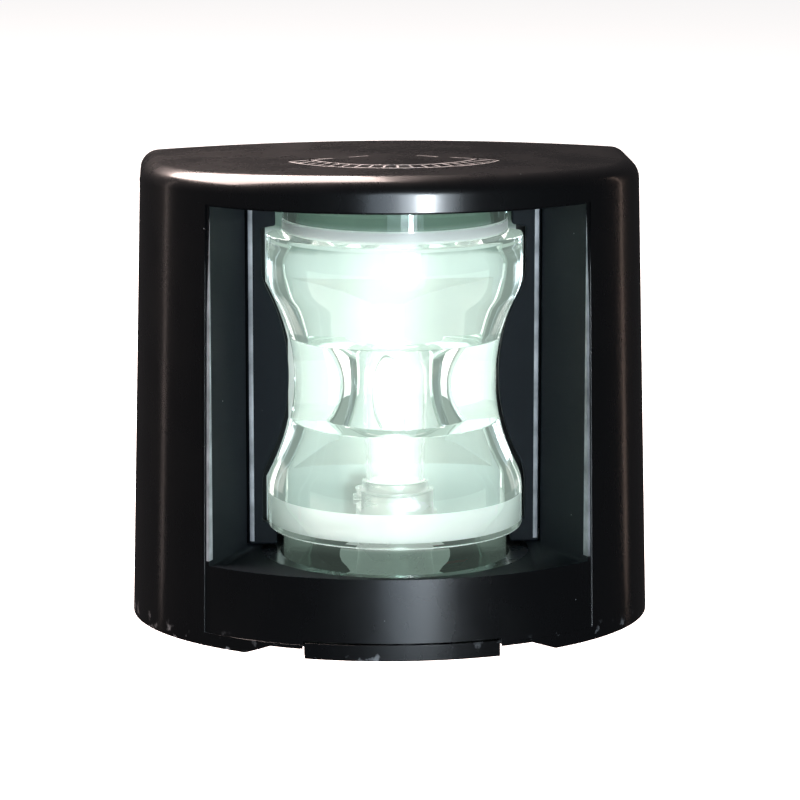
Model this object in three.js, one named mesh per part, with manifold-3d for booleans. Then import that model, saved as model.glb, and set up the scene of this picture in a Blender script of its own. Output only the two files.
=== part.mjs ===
// A bulkhead-mounted stern navigation light: a gloss black hood with a recessed window, a waisted
// glass drum lens, a bayonet bulb on a moulded base, and the fittings that hold and wire it.
// Millimetres, +Z up, -Y towards the window. The origin is on the back of the wall gasket.
// Inside this file z is counted from the hood's bottom edge, and the last group lowers it all.
import * as THREE from "three";
import { mergeVertices } from "three/addons/utils/BufferGeometryUtils.js";
import Module from "manifold-3d";

const wasm = await Module();
wasm.setup();

// ---------------------------------------------------------------- driving dimensions
const HALF_WIDTH = 60; // hood at its bottom edge
const FRONT_DEPTH = 54; // of the half-ellipse, at its bottom edge
const HOOD_HEIGHT = 105; // at the sides
const DRAFT = 2.75; // by which the outline shrinks from bottom to top
const TOP_CROWN = 2.2; // rise of the top along its middle
const TOP_FILLET = 4;
const WALL = 2.8;
const WIDEST_Y = -26; // plane of the half-ellipse's long axis
const HOOD_REAR_Y = -7.2;
const CENTRE_Z = 52.5; // height of the origin above the hood's bottom edge

const AXIS_Y = WIDEST_Y - 20.8; // lamp and lens axis
const LENS_MID = 57.7; // height of the filament and of the lens waist
const WAIST_R = 22.8;
const BAND_R = 28.9;
const SPIGOT_R = 25.4;
const WAIST_ARC = 43; // radii of the two arcs that make the lens flare
const BAND_ARC = 11.3;
const LENS_BOTTOM = 13;
const LENS_TOP = 100;
const BAND_LOW = 24.2; // where the lower band starts; the upper one mirrors it
const GLASS = 3.7;
const BULGE_HALF = 10; // half height of the thick inner belt lens
const BULGE_R = 8.6; // its smallest radius
const BULGE_EDGE_R = 11.2; // its radius at its flat upper and lower shelves
const DRUM_OPEN = [19.6, 98.6]; // heights between which the drum has no rear half

const REFLECTOR = {
  front: WIDEST_Y - 11, // of its opening and its flat plate, just behind the lamp and its socket
  back: WIDEST_Y + 9,
  x: [24.5, 3.8], // half widths at the front and the back, then heights of its low and high faces
  low: [36, 44.5],
  high: [79.4, 70.5],
  wall: 1.2,
  plate: [20.2, 98], // heights of the flat plate round the funnel
};

const SILL_TOP = 18.3;
const SILL = 2.5;
const MOUTH_TOP = 99;
const RECESS_HALF = 33.7; // inner end of the recess
const RECESS_BACK = 13.8; // forward of the widest plane, as all depths below
const SCREEN_FRONT = 16.9;
const SPLAY = 9.3 / 21; // sideways run of the recess wall per depth
const RECESS_WALL = 2.4;
const SILL_DISC_R = 33.8;
const CLAMP_SCREW_R = 31.5;

const PLATE_FRONT = -5.5; // front face of the base's back plate
const PLATE_BACK = -1.8;
const GASKET_FRONT = -1.5;
const FLOOR_LOW = 1.2;
const FLOOR_TOP = 4.2;
const FIXING_X = 36; // mounting screw holes
const FIXING_Z = [38, 92];
const FIXING_R = 2.5;

const TAB_HALF = 21.7; // release latch
const TAB_TOP = 3.6;
const LATCH_DEPTH = 44.6; // pivot, forward of the widest plane
const LATCH_Z = 7.4;
const LATCH_PIN_R = 1.0;

const PLUNGER_X = 3.6;
const SOCKET_R = 8.9;
const SOCKET_BORE = 8.1;
const SOCKET_TOP = 31.5;
const BULB_CAP_R = 7.6;
const PIN_HEIGHTS = [25.9, 28.9]; // staggered bayonet pins
const TWIST = THREE.MathUtils.degToRad(20);

const TERMINAL = { x: 40.9, halfWidth: 5.8, front: -15.3, low: 9, high: 25, pitch: 2.8 };
const GLAND = { x: 26, z: 14.2 };
const ROUND = 32; // facets of a large circle
const SMALL = 12;

// ---------------------------------------------------------------- solids
// A closed geometry as one solid whose faces point out.
function solid(geometry) {
  const bare = geometry.index ? geometry.toNonIndexed() : geometry.clone();
  for (const name of Object.keys(bare.attributes)) if (name !== "position") bare.deleteAttribute(name);
  const merged = mergeVertices(bare, 1e-4);
  const build = (triVerts) =>
    new wasm.Manifold(
      new wasm.Mesh({ numProp: 3, vertProperties: merged.attributes.position.array, triVerts }),
    );
  const triangles = new Uint32Array(merged.index.array);
  const made = build(triangles);
  return made.volume() > 0 ? made : build(triangles.reverse());
}

function geometryOf(manifold) {
  const mesh = manifold.getMesh();
  const geometry = new THREE.BufferGeometry();
  geometry.setAttribute("position", new THREE.BufferAttribute(new Float32Array(mesh.vertProperties), 3));
  geometry.setIndex(new THREE.BufferAttribute(new Uint32Array(mesh.triVerts), 1));
  geometry.computeVertexNormals();
  return geometry;
}

const steps = (low, high, count) =>
  Array.from({ length: count + 1 }, (_, i) => low + ((high - low) * i) / count);
const join = (...parts) => parts.reduce((a, b) => a.add(b));
const cut = (body, ...tools) => tools.reduce((a, b) => a.subtract(b), body);

function box([x0, x1], [y0, y1], [z0, z1]) {
  const geometry = new THREE.BoxGeometry(x1 - x0, y1 - y0, z1 - z0);
  return solid(geometry.translate((x0 + x1) / 2, (y0 + y1) / 2, (z0 + z1) / 2));
}

// A cylinder along "x", "y" or "z", from low to high, centred on the other two coordinates.
function rod(axis, radius, low, high, a, b, facets = SMALL) {
  const geometry = new THREE.CylinderGeometry(radius, radius, high - low, facets);
  const middle = (low + high) / 2;
  if (axis === "x") return solid(geometry.rotateZ(Math.PI / 2).translate(middle, a, b));
  if (axis === "y") return solid(geometry.translate(a, middle, b));
  return solid(geometry.rotateX(Math.PI / 2).translate(a, b, middle));
}

// A polygon in the XY plane, extruded from z0 to z1.
function prism(points, z0, z1) {
  const shape = new THREE.Shape(points.map(([x, y]) => new THREE.Vector2(x, y)));
  const geometry = new THREE.ExtrudeGeometry(shape, { depth: z1 - z0, bevelEnabled: false });
  return solid(geometry.translate(0, 0, z0));
}

// A polygon in the XZ plane, extruded from y0 to y1.
function upright(points, y0, y1) {
  const shape = new THREE.Shape(points.map(([x, z]) => new THREE.Vector2(x, z)));
  const geometry = new THREE.ExtrudeGeometry(shape, { depth: y1 - y0, bevelEnabled: false });
  return solid(geometry.rotateX(Math.PI / 2).translate(0, y1, 0));
}

// A closed profile of [radius, z] turned about a vertical axis.
function turned(profile, x = 0, y = AXIS_Y, facets = ROUND) {
  const closed = [...profile, profile[0]].map(([r, z]) => new THREE.Vector2(r, z));
  const geometry = new THREE.LatheGeometry(closed, facets);
  return solid(geometry.rotateX(Math.PI / 2).translate(x, y, 0));
}

const ring = (inner, outer, z0, z1, facets = ROUND) =>
  turned([[inner, z0], [outer, z0], [outer, z1], [inner, z1]], 0, AXIS_Y, facets);

// An O-ring of a given radius and height, with its section's radius.
function sealRing(radius, z, section) {
  const around = steps(0, 2 * Math.PI, 8).slice(0, -1);
  return turned(around.map((t) => [radius + section * Math.cos(t), z + section * Math.sin(t)]));
}

// A round wire along a smooth curve through the points.
function wire(points, radius, steps, sides = 8) {
  const centre = new THREE.Vector2();
  const corner = (i) => new THREE.Vector2(radius, 0).rotateAround(centre, (2 * Math.PI * i) / sides);
  const section = new THREE.Shape(Array.from({ length: sides }, (_, i) => corner(i)));
  const places = points.map((p) => new THREE.Vector3(...p));
  const extrudePath = new THREE.CatmullRomCurve3(places, false, "centripetal");
  return solid(new THREE.ExtrudeGeometry(section, { steps, extrudePath, bevelEnabled: false }));
}

// Points of a helix about "x" or "z", and its turns begin at the given angle.
function helix(axis, radius, low, high, turns, centre, start = 0, perTurn = 10) {
  const points = [];
  const count = Math.round(turns * perTurn);
  for (let i = 0; i <= count; i++) {
    const angle = start + (2 * Math.PI * i) / perTurn;
    const along = low + ((high - low) * i) / count;
    const u = radius * Math.cos(angle);
    const v = radius * Math.sin(angle);
    points.push(axis === "x" ? [along, centre[0] + u, centre[1] + v] : [centre[0] + u, centre[1] + v, along]);
  }
  return points;
}

// A slotted pan-head screw whose shaft points along +Z from the origin, and its head hangs below.
function screw(headR, headH, shaftR, shaftL) {
  const profile = [[0, -headH], [headR * 0.8, -headH], [headR, -headH * 0.6], [headR, 0]];
  profile.push([shaftR, 0], [shaftR, shaftL - shaftR * 0.7], [shaftR * 0.4, shaftL], [0, shaftL]);
  const body = turned(profile, 0, 0, SMALL);
  const slot = box([-headR * 2, headR * 2], [-headR * 0.16, headR * 0.16], [-headH * 2, -headH * 0.5]);
  return cut(body, slot);
}

// ---------------------------------------------------------------- the hood's outline
const halfWidthAt = (z) => HALF_WIDTH - (DRAFT * z) / HOOD_HEIGHT;
const crownAt = (x) => TOP_CROWN * (1 - (x / HALF_WIDTH) ** 2);

// One closed ring: the half-ellipse from left to right, then the rear edge back at the same x.
function outline(z, inset, rearY, crown, count = 32) {
  const a = halfWidthAt(z) - inset;
  const d = a - HALF_WIDTH + FRONT_DEPTH;
  const front = [];
  for (let i = 0; i <= count; i++) {
    const angle = Math.PI * (1 - i / count);
    const x = a * Math.cos(angle);
    front.push([x, WIDEST_Y - d * Math.sin(angle), z + crown * crownAt(x)]);
  }
  return [...front, ...front.map(([x, , height]) => [x, rearY, height]).reverse()];
}

// A solid through rings of equal count, closed by strips between points of equal x.
function loft(rings) {
  const n = rings[0].length;
  const index = [];
  const quad = (a, b, c, d) => index.push(a, b, c, a, c, d);
  for (let r = 0; r + 1 < rings.length; r++)
    for (let i = 0; i < n; i++) {
      const j = (i + 1) % n;
      quad(r * n + i, r * n + j, (r + 1) * n + j, (r + 1) * n + i);
    }
  const top = (rings.length - 1) * n;
  for (let i = 0; i + 1 < n / 2; i++) {
    quad(n - 1 - i, n - 2 - i, i + 1, i);
    quad(top + i, top + i + 1, top + n - 2 - i, top + n - 1 - i);
  }
  const geometry = new THREE.BufferGeometry();
  geometry.setAttribute("position", new THREE.BufferAttribute(new Float32Array(rings.flat(2)), 3));
  geometry.setIndex(index);
  return solid(geometry);
}

function hoodOuter() {
  const rings = [outline(0, 0, HOOD_REAR_Y, 0), outline(HOOD_HEIGHT - TOP_FILLET, 0, HOOD_REAR_Y, 1)];
  for (const degrees of [30, 60, 90]) {
    const angle = THREE.MathUtils.degToRad(degrees);
    const z = HOOD_HEIGHT - TOP_FILLET * (1 - Math.sin(angle));
    rings.push(outline(z, TOP_FILLET * (1 - Math.cos(angle)), HOOD_REAR_Y, 1));
  }
  return loft(rings);
}

const hoodInner = () =>
  loft([
    outline(-5, WALL, 5, 0, 24),
    outline(HOOD_HEIGHT - 5, WALL, 5, 1, 24),
    outline(HOOD_HEIGHT - 3, WALL + 2, 5, 1, 24),
  ]);

// Half width of the recess at a depth, for a wall set out by extra.
const recessHalf = (depth, extra) => RECESS_HALF + extra + SPLAY * Math.max(0, depth - SCREEN_FRONT);

function recessPlan(extra) {
  const far = FRONT_DEPTH + 6;
  const right = [RECESS_BACK, SCREEN_FRONT, far].map((d) => [recessHalf(d, extra), WIDEST_Y - d]);
  return [...right, ...right.map(([x, y]) => [-x, y]).reverse()];
}

const clampPoints = [1, -1].flatMap((sx) =>
  [1, -1].map((sy) => [(sx * CLAMP_SCREW_R) / Math.SQRT2, AXIS_Y + (sy * CLAMP_SCREW_R) / Math.SQRT2]),
);
const REFLECTOR_SCREW = { x: 37, z: 58.5 };

function hood() {
  const outer = hoodOuter();
  const lipDepth = [-9.9, HOOD_REAR_Y];
  const lips = [[-62, -49.5], [49.5, 62]].map((span) => box(span, lipDepth, [6, 99]));
  lips.push(box([-58, 58], lipDepth, [98.4, 110]));
  const recess = prism(recessPlan(RECESS_WALL), SILL_TOP - SILL, HOOD_HEIGHT);
  const sill = rod("z", SILL_DISC_R, SILL_TOP - SILL, SILL_TOP, 0, AXIS_Y, ROUND);
  const seat = rod("z", 29.5, MOUTH_TOP, HOOD_HEIGHT - 2, 0, AXIS_Y, ROUND);
  const screwBosses = [-1, 1].map((side) =>
    rod("y", 3, WIDEST_Y - 24, REFLECTOR.front - 0.3, side * REFLECTOR_SCREW.x, REFLECTOR_SCREW.z),
  );
  const ribs = join(...lips, recess, sill, seat, ...screwBosses).intersect(outer);
  const clampBosses = clampPoints.map(([x, y]) => rod("z", 2.6, 13, SILL_TOP - 1, x, y));
  const shell = join(cut(outer, hoodInner()), ribs, ...clampBosses);

  const wideNotch = upright([[-34.7, -0.01], [-29.2, 2.2], [29.2, 2.2], [34.7, -0.01]], -90, -55);
  const tabNotch = box([-TAB_HALF - 0.4, TAB_HALF + 0.4], [-90, -55], [-1, TAB_TOP + 0.35]);
  return cut(
    shell,
    prism(recessPlan(0), SILL_TOP, MOUTH_TOP),
    rod("z", SPIGOT_R + 0.8, SILL_TOP - 5, SILL_TOP + 1, 0, AXIS_Y, ROUND),
    rod("z", 27.2, MOUTH_TOP - 1, 102.3, 0, AXIS_Y, ROUND),
    rod("z", 1.5, 102, 105.6, 0, AXIS_Y),
    wideNotch,
    tabNotch,
    ...clampPoints.map(([x, y]) => rod("z", 1.45, 12, 17.4, x, y)),
    ...[-1, 1].map((side) =>
      rod("y", 1.2, WIDEST_Y - 19, REFLECTOR.front + 1, side * REFLECTOR_SCREW.x, REFLECTOR_SCREW.z, 12),
    ),
  );
}

// ---------------------------------------------------------------- lens and its fittings
const FLARE = Math.acos(1 - (BAND_R - WAIST_R) / (WAIST_ARC + BAND_ARC));
const FLARE_HALF = (WAIST_ARC + BAND_ARC) * Math.sin(FLARE);
const INFLECTION = WAIST_ARC * Math.sin(FLARE);

// Outer radius of the lens between its bands, at a height from the waist.
function flareRadius(fromWaist) {
  const u = Math.abs(fromWaist);
  if (u >= FLARE_HALF) return BAND_R;
  if (u <= INFLECTION) return WAIST_R + WAIST_ARC - Math.sqrt(WAIST_ARC ** 2 - u ** 2);
  return BAND_R - BAND_ARC + Math.sqrt(BAND_ARC ** 2 - (FLARE_HALF - u) ** 2);
}

function bulgeRadius(fromWaist) {
  const sag = BULGE_EDGE_R - BULGE_R;
  const arc = (BULGE_HALF ** 2 + sag ** 2) / (2 * sag);
  return BULGE_R + arc - Math.sqrt(arc ** 2 - fromWaist ** 2);
}

const mirrored = (z) => 2 * LENS_MID - z;

function lens() {
  const bandHigh = mirrored(BAND_LOW);
  const outer = [[SPIGOT_R, LENS_BOTTOM], [SPIGOT_R, BAND_LOW - 0.6], [BAND_R, BAND_LOW]];
  for (const u of steps(-FLARE_HALF, FLARE_HALF, 14)) outer.push([flareRadius(u), LENS_MID + u]);
  outer.push([BAND_R, bandHigh], [SPIGOT_R, bandHigh + 0.6], [SPIGOT_R, LENS_TOP]);
  const spigotBore = SPIGOT_R - GLASS + 0.2;
  const inner = [[spigotBore, LENS_TOP], [spigotBore, bandHigh], [BAND_R - GLASS, bandHigh - 4]];
  for (const u of steps(FLARE_HALF, BULGE_HALF, 3)) inner.push([flareRadius(u) - GLASS, LENS_MID + u]);
  for (const u of steps(BULGE_HALF, -BULGE_HALF, 6)) inner.push([bulgeRadius(u), LENS_MID + u]);
  for (const u of steps(-BULGE_HALF, -FLARE_HALF, 3)) inner.push([flareRadius(u) - GLASS, LENS_MID + u]);
  inner.push([BAND_R - GLASS, BAND_LOW + 4], [spigotBore, BAND_LOW], [spigotBore, LENS_BOTTOM]);
  const rearHalf = box([-40, 40], [AXIS_Y, AXIS_Y + 40], DRUM_OPEN);
  return cut(turned([...outer, ...inner]), rearHalf);
}

function sectorScreen(side) {
  const low = SILL_TOP + 0.3;
  const high = MOUTH_TOP - 0.3;
  const gap = 1.1;
  const spigot = SPIGOT_R + gap + 0.3;
  const edge = [[spigot, low], [spigot, BAND_LOW - 0.9], [BAND_R + gap, BAND_LOW - 0.3]];
  for (const u of steps(-FLARE_HALF, FLARE_HALF, 16)) edge.push([flareRadius(u) + gap, LENS_MID + u]);
  edge.push([BAND_R + gap, mirrored(BAND_LOW - 0.3)], [spigot, mirrored(BAND_LOW - 0.9)]);
  edge.push([spigot, high], [RECESS_HALF - 0.3, high], [RECESS_HALF - 0.3, low]);
  return upright(edge.map(([x, z]) => [side * x, z]), WIDEST_Y - SCREEN_FRONT, WIDEST_Y - RECESS_BACK - 0.3);
}

// A four-sided funnel from a rectangle at one depth to a smaller one behind it.
function funnel(front, back) {
  const points = [front, back].flatMap(({ x, y, z: [low, high] }) => [
    [-x, y, low], [x, y, low], [x, y, high], [-x, y, high],
  ]);
  const index = [0, 1, 2, 0, 2, 3, 4, 6, 5, 4, 7, 6];
  for (const [a, b] of [[0, 1], [1, 2], [2, 3], [3, 0]]) index.push(a, a + 4, b + 4, a, b + 4, b);
  const geometry = new THREE.BufferGeometry();
  geometry.setAttribute("position", new THREE.BufferAttribute(new Float32Array(points.flat()), 3));
  geometry.setIndex(index);
  return solid(geometry);
}

// A flat plate behind the half drum, with a moulded funnel behind the lamp.
function reflector() {
  const { front, back, x, low, high, wall, plate } = REFLECTOR;
  const grown = (extra) => [
    { x: x[0] + extra, y: front, z: [low[0] - extra, high[0] + extra] },
    { x: x[1] + extra, y: back + extra, z: [low[1] - extra, high[1] + extra] },
  ];
  const flange = box([-40.2, 40.2], [front, front + wall], plate);
  const body = cut(join(funnel(...grown(wall)), flange), funnel(...grown(0)));
  const holes = [-1, 1].map((side) =>
    rod("y", 1.4, front - 1, front + wall + 1, side * REFLECTOR_SCREW.x, REFLECTOR_SCREW.z, 12),
  );
  return cut(body, ...holes);
}

function clampRing() {
  const ears = clampPoints.map(([x, y]) => rod("z", 2.8, 10.2, 12.7, x, y));
  const holes = clampPoints.map(([x, y]) => rod("z", 1.5, 9, 14, x, y));
  return cut(join(ring(23, 29.6, 10.2, 12.7), ...ears), ring(1, 23, 9, 14), ...holes);
}

// ---------------------------------------------------------------- base
// The back plate's outline, set in from the hood's own by inset, with the same crowned top.
function plateOutline(inset, bottom) {
  const side = halfWidthAt(HOOD_HEIGHT) - inset;
  const corner = 6 - inset;
  const right = steps(0, Math.PI / 2, 4).map((t) => [
    side - corner + corner * Math.cos(t),
    corner * (Math.sin(t) - 1),
  ]);
  const middle = steps(side - corner, 0, 5).slice(1).map((x) => [x, 0]);
  const half = [...right, ...middle].map(([x, drop]) => [x, HOOD_HEIGHT - inset + crownAt(x) + drop]);
  const top = [...half, ...half.slice(0, -1).map(([x, z]) => [-x, z]).reverse()];
  return [[-halfWidthAt(0) + inset, bottom], [halfWidthAt(0) - inset, bottom], ...top];
}

const fixingHoles = () =>
  FIXING_Z.flatMap((z) => [-1, 1].map((side) => rod("y", FIXING_R, -8, 2, side * FIXING_X, z)));

function mountingBase() {
  const plate = upright(plateOutline(1.2, 0.6), PLATE_FRONT, PLATE_BACK);
  const floor = prism(outline(2, WALL + 0.6, PLATE_FRONT + 0.5, 0), FLOOR_LOW, FLOOR_TOP);
  const pedestal = ring(11.5, 15.5, FLOOR_TOP - 0.5, 9.8);
  const rails = [-1, 1].flatMap((side) => {
    const span = (a, b) => [Math.min(side * a, side * b), Math.max(side * a, side * b)];
    return [
      box(span(47.2, 48.8), [-12.5, PLATE_FRONT + 0.5], [8, 96]),
      box(span(47.2, 52.5), [-12.5, -10.7], [8, 96]),
    ];
  });
  const lugs = [-1, 1].map((side) => {
    const span = [Math.min(side * 9.2, side * 11.7), Math.max(side * 9.2, side * 11.7)];
    return box(span, [WIDEST_Y - 46.4, WIDEST_Y - 42], [FLOOR_LOW, 9.4]);
  });
  const latchBay = box([-TAB_HALF - 0.9, TAB_HALF + 0.9], [-90, WIDEST_Y - 44], [-1, FLOOR_TOP + 0.01]);
  return cut(
    join(cut(join(plate, floor, pedestal), latchBay), ...rails, ...lugs),
    ...fixingHoles(),
    rod("y", 6.3, -10, 2, GLAND.x, GLAND.z, 24),
    rod("x", LATCH_PIN_R + 0.15, -13, 13, WIDEST_Y - LATCH_DEPTH, LATCH_Z),
    box([-5.5, 5.5], [AXIS_Y + 8, AXIS_Y + 18], [FLOOR_TOP, 8.4]),
    ...[-1, 1].map((side) => rod("z", 1.35, 4.5, 12, side * 13.5, AXIS_Y)),
    ...[-1, 1].map((side) => rod("z", 2.2, 0, 5, side * 30, WIDEST_Y - 6)),
  );
}

function rearSeal() {
  const height = [-6.9, PLATE_FRONT - 0.2];
  const inner = upright(plateOutline(4.4, -5), height[0] - 1, height[1] + 1);
  return cut(upright(plateOutline(2.2, FLOOR_TOP + 0.3), ...height), inner);
}

function wallGasket() {
  return cut(
    upright(plateOutline(2.4, 1.6), GASKET_FRONT, 0),
    ...fixingHoles(),
    rod("y", 7, -3, 2, GLAND.x, GLAND.z, 24),
  );
}

// ---------------------------------------------------------------- release latch
function releaseLatch() {
  const face = outline(0, 0, WIDEST_Y, 0);
  const back = outline(0, 4.4, WIDEST_Y + 1, 0);
  const band = cut(prism(face, 0, TAB_TOP), prism(back, -1, TAB_TOP + 1));
  const tab = band.intersect(box([-TAB_HALF, TAB_HALF], [-90, -60], [-1, 9]));
  const armHalf = 5.5;
  const y = (depth) => WIDEST_Y - depth;
  const side = [[44.6, 5.5], [48.3, 4.5], [48.3, 0.2], [50.3, 0.2], [50.3, 5.9], [46, 9.1], [44.6, 9.3]];
  const shape = new THREE.Shape(side.map(([depth, z]) => new THREE.Vector2(y(depth), z)));
  const flat = new THREE.ExtrudeGeometry(shape, { depth: 2 * armHalf, bevelEnabled: false });
  // The section's axes are Y and Z, so the extrusion's own x, y, z go round to y, z, x.
  const turn = new THREE.Matrix4().set(0, 0, 1, -armHalf, 1, 0, 0, 0, 0, 1, 0, 0, 0, 0, 0, 1);
  const arm = solid(flat.applyMatrix4(turn));
  const barrel = rod("x", 2, -armHalf, armHalf, y(LATCH_DEPTH), LATCH_Z);
  const nose = box([-4, 4], [y(50.7), y(49.9)], [4.7, 5.5]);
  return cut(join(tab, arm, barrel, nose), rod("x", LATCH_PIN_R + 0.25, -8, 8, y(LATCH_DEPTH), LATCH_Z));
}

function latchSpring() {
  const centre = [WIDEST_Y - LATCH_DEPTH, LATCH_Z];
  const coil = helix("x", 1.75, -8.8, -6.3, 3, centre, Math.PI / 2, 8);
  const rearLeg = [[-8.8, centre[0] + 4, 8.2], [-8.8, centre[0] + 2, centre[1] + 1.6]];
  const frontLeg = [[-6.2, centre[0] - 2, centre[1] + 1.2], [-6.1, centre[0] - 4.4, 6.4]];
  return wire([...rearLeg, ...coil, ...frontLeg], 0.28, 40, 5);
}

// ---------------------------------------------------------------- lamp socket
function socketShell() {
  const flange = [[SOCKET_BORE, 9.9], [15.2, 9.9], [15.2, 11.2], [SOCKET_R, 11.2]];
  const body = turned([...flange, [SOCKET_R, SOCKET_TOP], [SOCKET_BORE, SOCKET_TOP]]);
  const slotHalf = 1.2;
  const slots = PIN_HEIGHTS.flatMap((height, i) => {
    const facing = i * Math.PI;
    const reach = [6, 11];
    const low = height - slotHalf;
    const wedge = steps(0, TWIST, 4).map((t) => [12 * Math.cos(t), 12 * Math.sin(t)]);
    const leg = prism([[0, 0], ...wedge], low, height + slotHalf);
    const end = box(reach, [-slotHalf, slotHalf], [low, height + slotHalf]);
    const entry = box(reach, [-slotHalf, slotHalf], [low, SOCKET_TOP + 1]);
    const whole = join(leg, end, entry.rotate([0, 0, THREE.MathUtils.radToDeg(TWIST)]));
    return whole.rotate([0, 0, THREE.MathUtils.radToDeg(facing)]).translate([0, AXIS_Y, 0]);
  });
  const holes = [-1, 1].map((side) => rod("z", 1.5, 9, 12, side * 13.5, AXIS_Y, 12));
  return cut(body, ...slots, ...holes);
}

function socketInsulator() {
  const body = rod("z", 7.8, 8.2, 16.6, 0, AXIS_Y, 24);
  const bores = [-1, 1].flatMap((side) => [
    rod("z", 2.15, 9.4, 15.6, side * PLUNGER_X, AXIS_Y),
    rod("z", 1.5, 15, 17, side * PLUNGER_X, AXIS_Y),
    rod("z", 1.05, 8, 10, side * PLUNGER_X, AXIS_Y),
  ]);
  return cut(body, ...bores);
}

function plunger(side) {
  const stem = [[0, 7.4], [0.8, 7.4], [0.8, 14.2]];
  const head = [[1.85, 14.2], [1.85, 15.4], [1.3, 15.4], [1.3, 16.6], [0.8, 16.95], [0, 16.95]];
  return turned([...stem, ...head], side * PLUNGER_X, AXIS_Y, SMALL);
}

const plungerSpring = (side) =>
  wire(helix("z", 1.45, 9.85, 13.8, 4, [side * PLUNGER_X, AXIS_Y]), 0.25, 36, 5);

// ---------------------------------------------------------------- bulb
function bulbCap() {
  const cup = turned([[0, 18], [BULB_CAP_R, 18], [BULB_CAP_R, 34], [6.9, 34], [6.9, 19.5], [0, 19.5]]);
  const pins = PIN_HEIGHTS.map((z, i) => rod("x", 1, i ? -9.6 : 7.1, i ? -7.1 : 9.6, AXIS_Y, z, 12));
  return join(cup, ...pins);
}

function bulbGlass() {
  const widest = 7.2;
  const glass = 0.8;
  const neck = 6.6;
  const domeZ = 60;
  const side = (inset) => {
    const points = [[neck - inset, 20], [neck - inset, 34]];
    for (const t of steps(0, 1, 5).slice(1))
      points.push([neck - inset + (widest - neck) * (t * t * (3 - 2 * t)), 34 + (domeZ - 38) * t]);
    for (const t of steps(0, Math.PI / 2, 5))
      points.push([(widest - inset) * Math.cos(t), domeZ + (widest - inset) * Math.sin(t)]);
    points[points.length - 1][0] = 0;
    return points;
  };
  return turned([...side(0), ...side(glass).reverse()], 0, AXIS_Y, 18);
}

const bulbContact = (side) =>
  turned([[0, 17.15], [1, 17.2], [1.7, 17.6], [1.7, 17.9], [0, 17.9]], side * PLUNGER_X, AXIS_Y, SMALL);

const bulbStem = () =>
  join(
    turned([[0, 20], [4.6, 20], [2.4, 30], [2.1, 39.5], [0, 39.5]], 0, AXIS_Y, SMALL),
    box([-3, 3], [AXIS_Y - 1, AXIS_Y + 1], [39, 46]),
  );

const SUPPORT_R = 0.3;
const support = (bends, count) => wire(bends.map(([x, z]) => [x, AXIS_Y, z]), SUPPORT_R, count, 6);
const shortSupport = () => support([[1.9, 46.2], [1.9, 50], [0.4, 53.6]], 8);
const longSupport = () => support([[-1.9, 46.2], [-4.4, 51], [-4.4, 60], [-2.6, 62.7], [0, 62.3]], 16);

// ---------------------------------------------------------------- wiring
function terminalBlock() {
  const { x, halfWidth, front, low, high, pitch } = TERMINAL;
  const body = box([x - halfWidth, x + halfWidth], [front, PLATE_FRONT - 0.3], [low, high]);
  const middle = (low + high) / 2;
  const poles = [-pitch, pitch].flatMap((dx) => [
    rod("y", 1.9, front - 1, front + 6, x + dx, middle),
    rod("z", 1.1, low - 1, middle - 2.4, x + dx, -10.5, 10),
    rod("z", 1.4, middle + 2.4, high + 1, x + dx, -10.5, 10),
  ]);
  return cut(body, ...poles);
}

// From under a contact plunger, out of the pedestal's doorway, along the floor and up into a pole.
const REST = FLOOR_TOP + 0.85;
const NEAR_POLE = TERMINAL.x - TERMINAL.pitch;
const FAR_POLE = TERMINAL.x + TERMINAL.pitch;
const leadNegative = () =>
  wire([
    [-PLUNGER_X, AXIS_Y, REST],
    [-2.8, AXIS_Y + 10, REST],
    [-2.2, AXIS_Y + 20, REST],
    [2.5, AXIS_Y + 29, REST],
    [13, -13.2, REST],
    [26, -12.2, REST],
    [33.5, -11.2, REST + 0.4],
    [NEAR_POLE - 0.7, -10.6, REST + 2.4],
    [NEAR_POLE, -10.5, TERMINAL.low + 0.5],
    [NEAR_POLE, -10.5, TERMINAL.low + 3.5],
  ], 0.65, 30, 7);

const leadPositive = () =>
  wire([
    [PLUNGER_X, AXIS_Y, REST],
    [3, AXIS_Y + 10, REST],
    [3.4, AXIS_Y + 18, REST],
    [9, AXIS_Y + 25.6, REST],
    [20, -17.6, REST],
    [33, -15.6, REST],
    [39.5, -13.4, REST + 0.4],
    [FAR_POLE - 0.8, -10.8, REST + 2.4],
    [FAR_POLE, -10.5, TERMINAL.low + 0.5],
    [FAR_POLE, -10.5, TERMINAL.low + 3.5],
  ], 0.65, 30, 7);

// ---------------------------------------------------------------- cable gland, along +Y from its nut
const glandTurned = (profile, facets = 24) => {
  const closed = [...profile, profile[0]].map(([r, y]) => new THREE.Vector2(r, y));
  return solid(new THREE.LatheGeometry(closed, facets).translate(GLAND.x, 0, GLAND.z));
};

function hexagon(across, y0, y1) {
  const points = steps(0, 300, 5).map((degrees) => {
    const t = THREE.MathUtils.degToRad(degrees);
    return [GLAND.x + (across / Math.sqrt(3)) * Math.cos(t), GLAND.z + (across / Math.sqrt(3)) * Math.sin(t)];
  });
  return upright(points, y0, y1);
}

const glandRod = (radius, y0, y1) => rod("y", radius, y0, y1, GLAND.x, GLAND.z, 24);

const glandBody = () =>
  cut(join(hexagon(15, -8.2, -5.8), glandRod(6, -6, -2), glandRod(5.3, -14, -8)), glandRod(4.2, -20, 0));

const glandNut = () => cut(hexagon(14, -17, -8.6), glandRod(5.7, -14.4, -8), glandRod(3.4, -18, -14));

const glandSeal = () => glandTurned([[3, -14.1], [3.95, -14.1], [3.95, -6.5], [3, -6.5]]);

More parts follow.
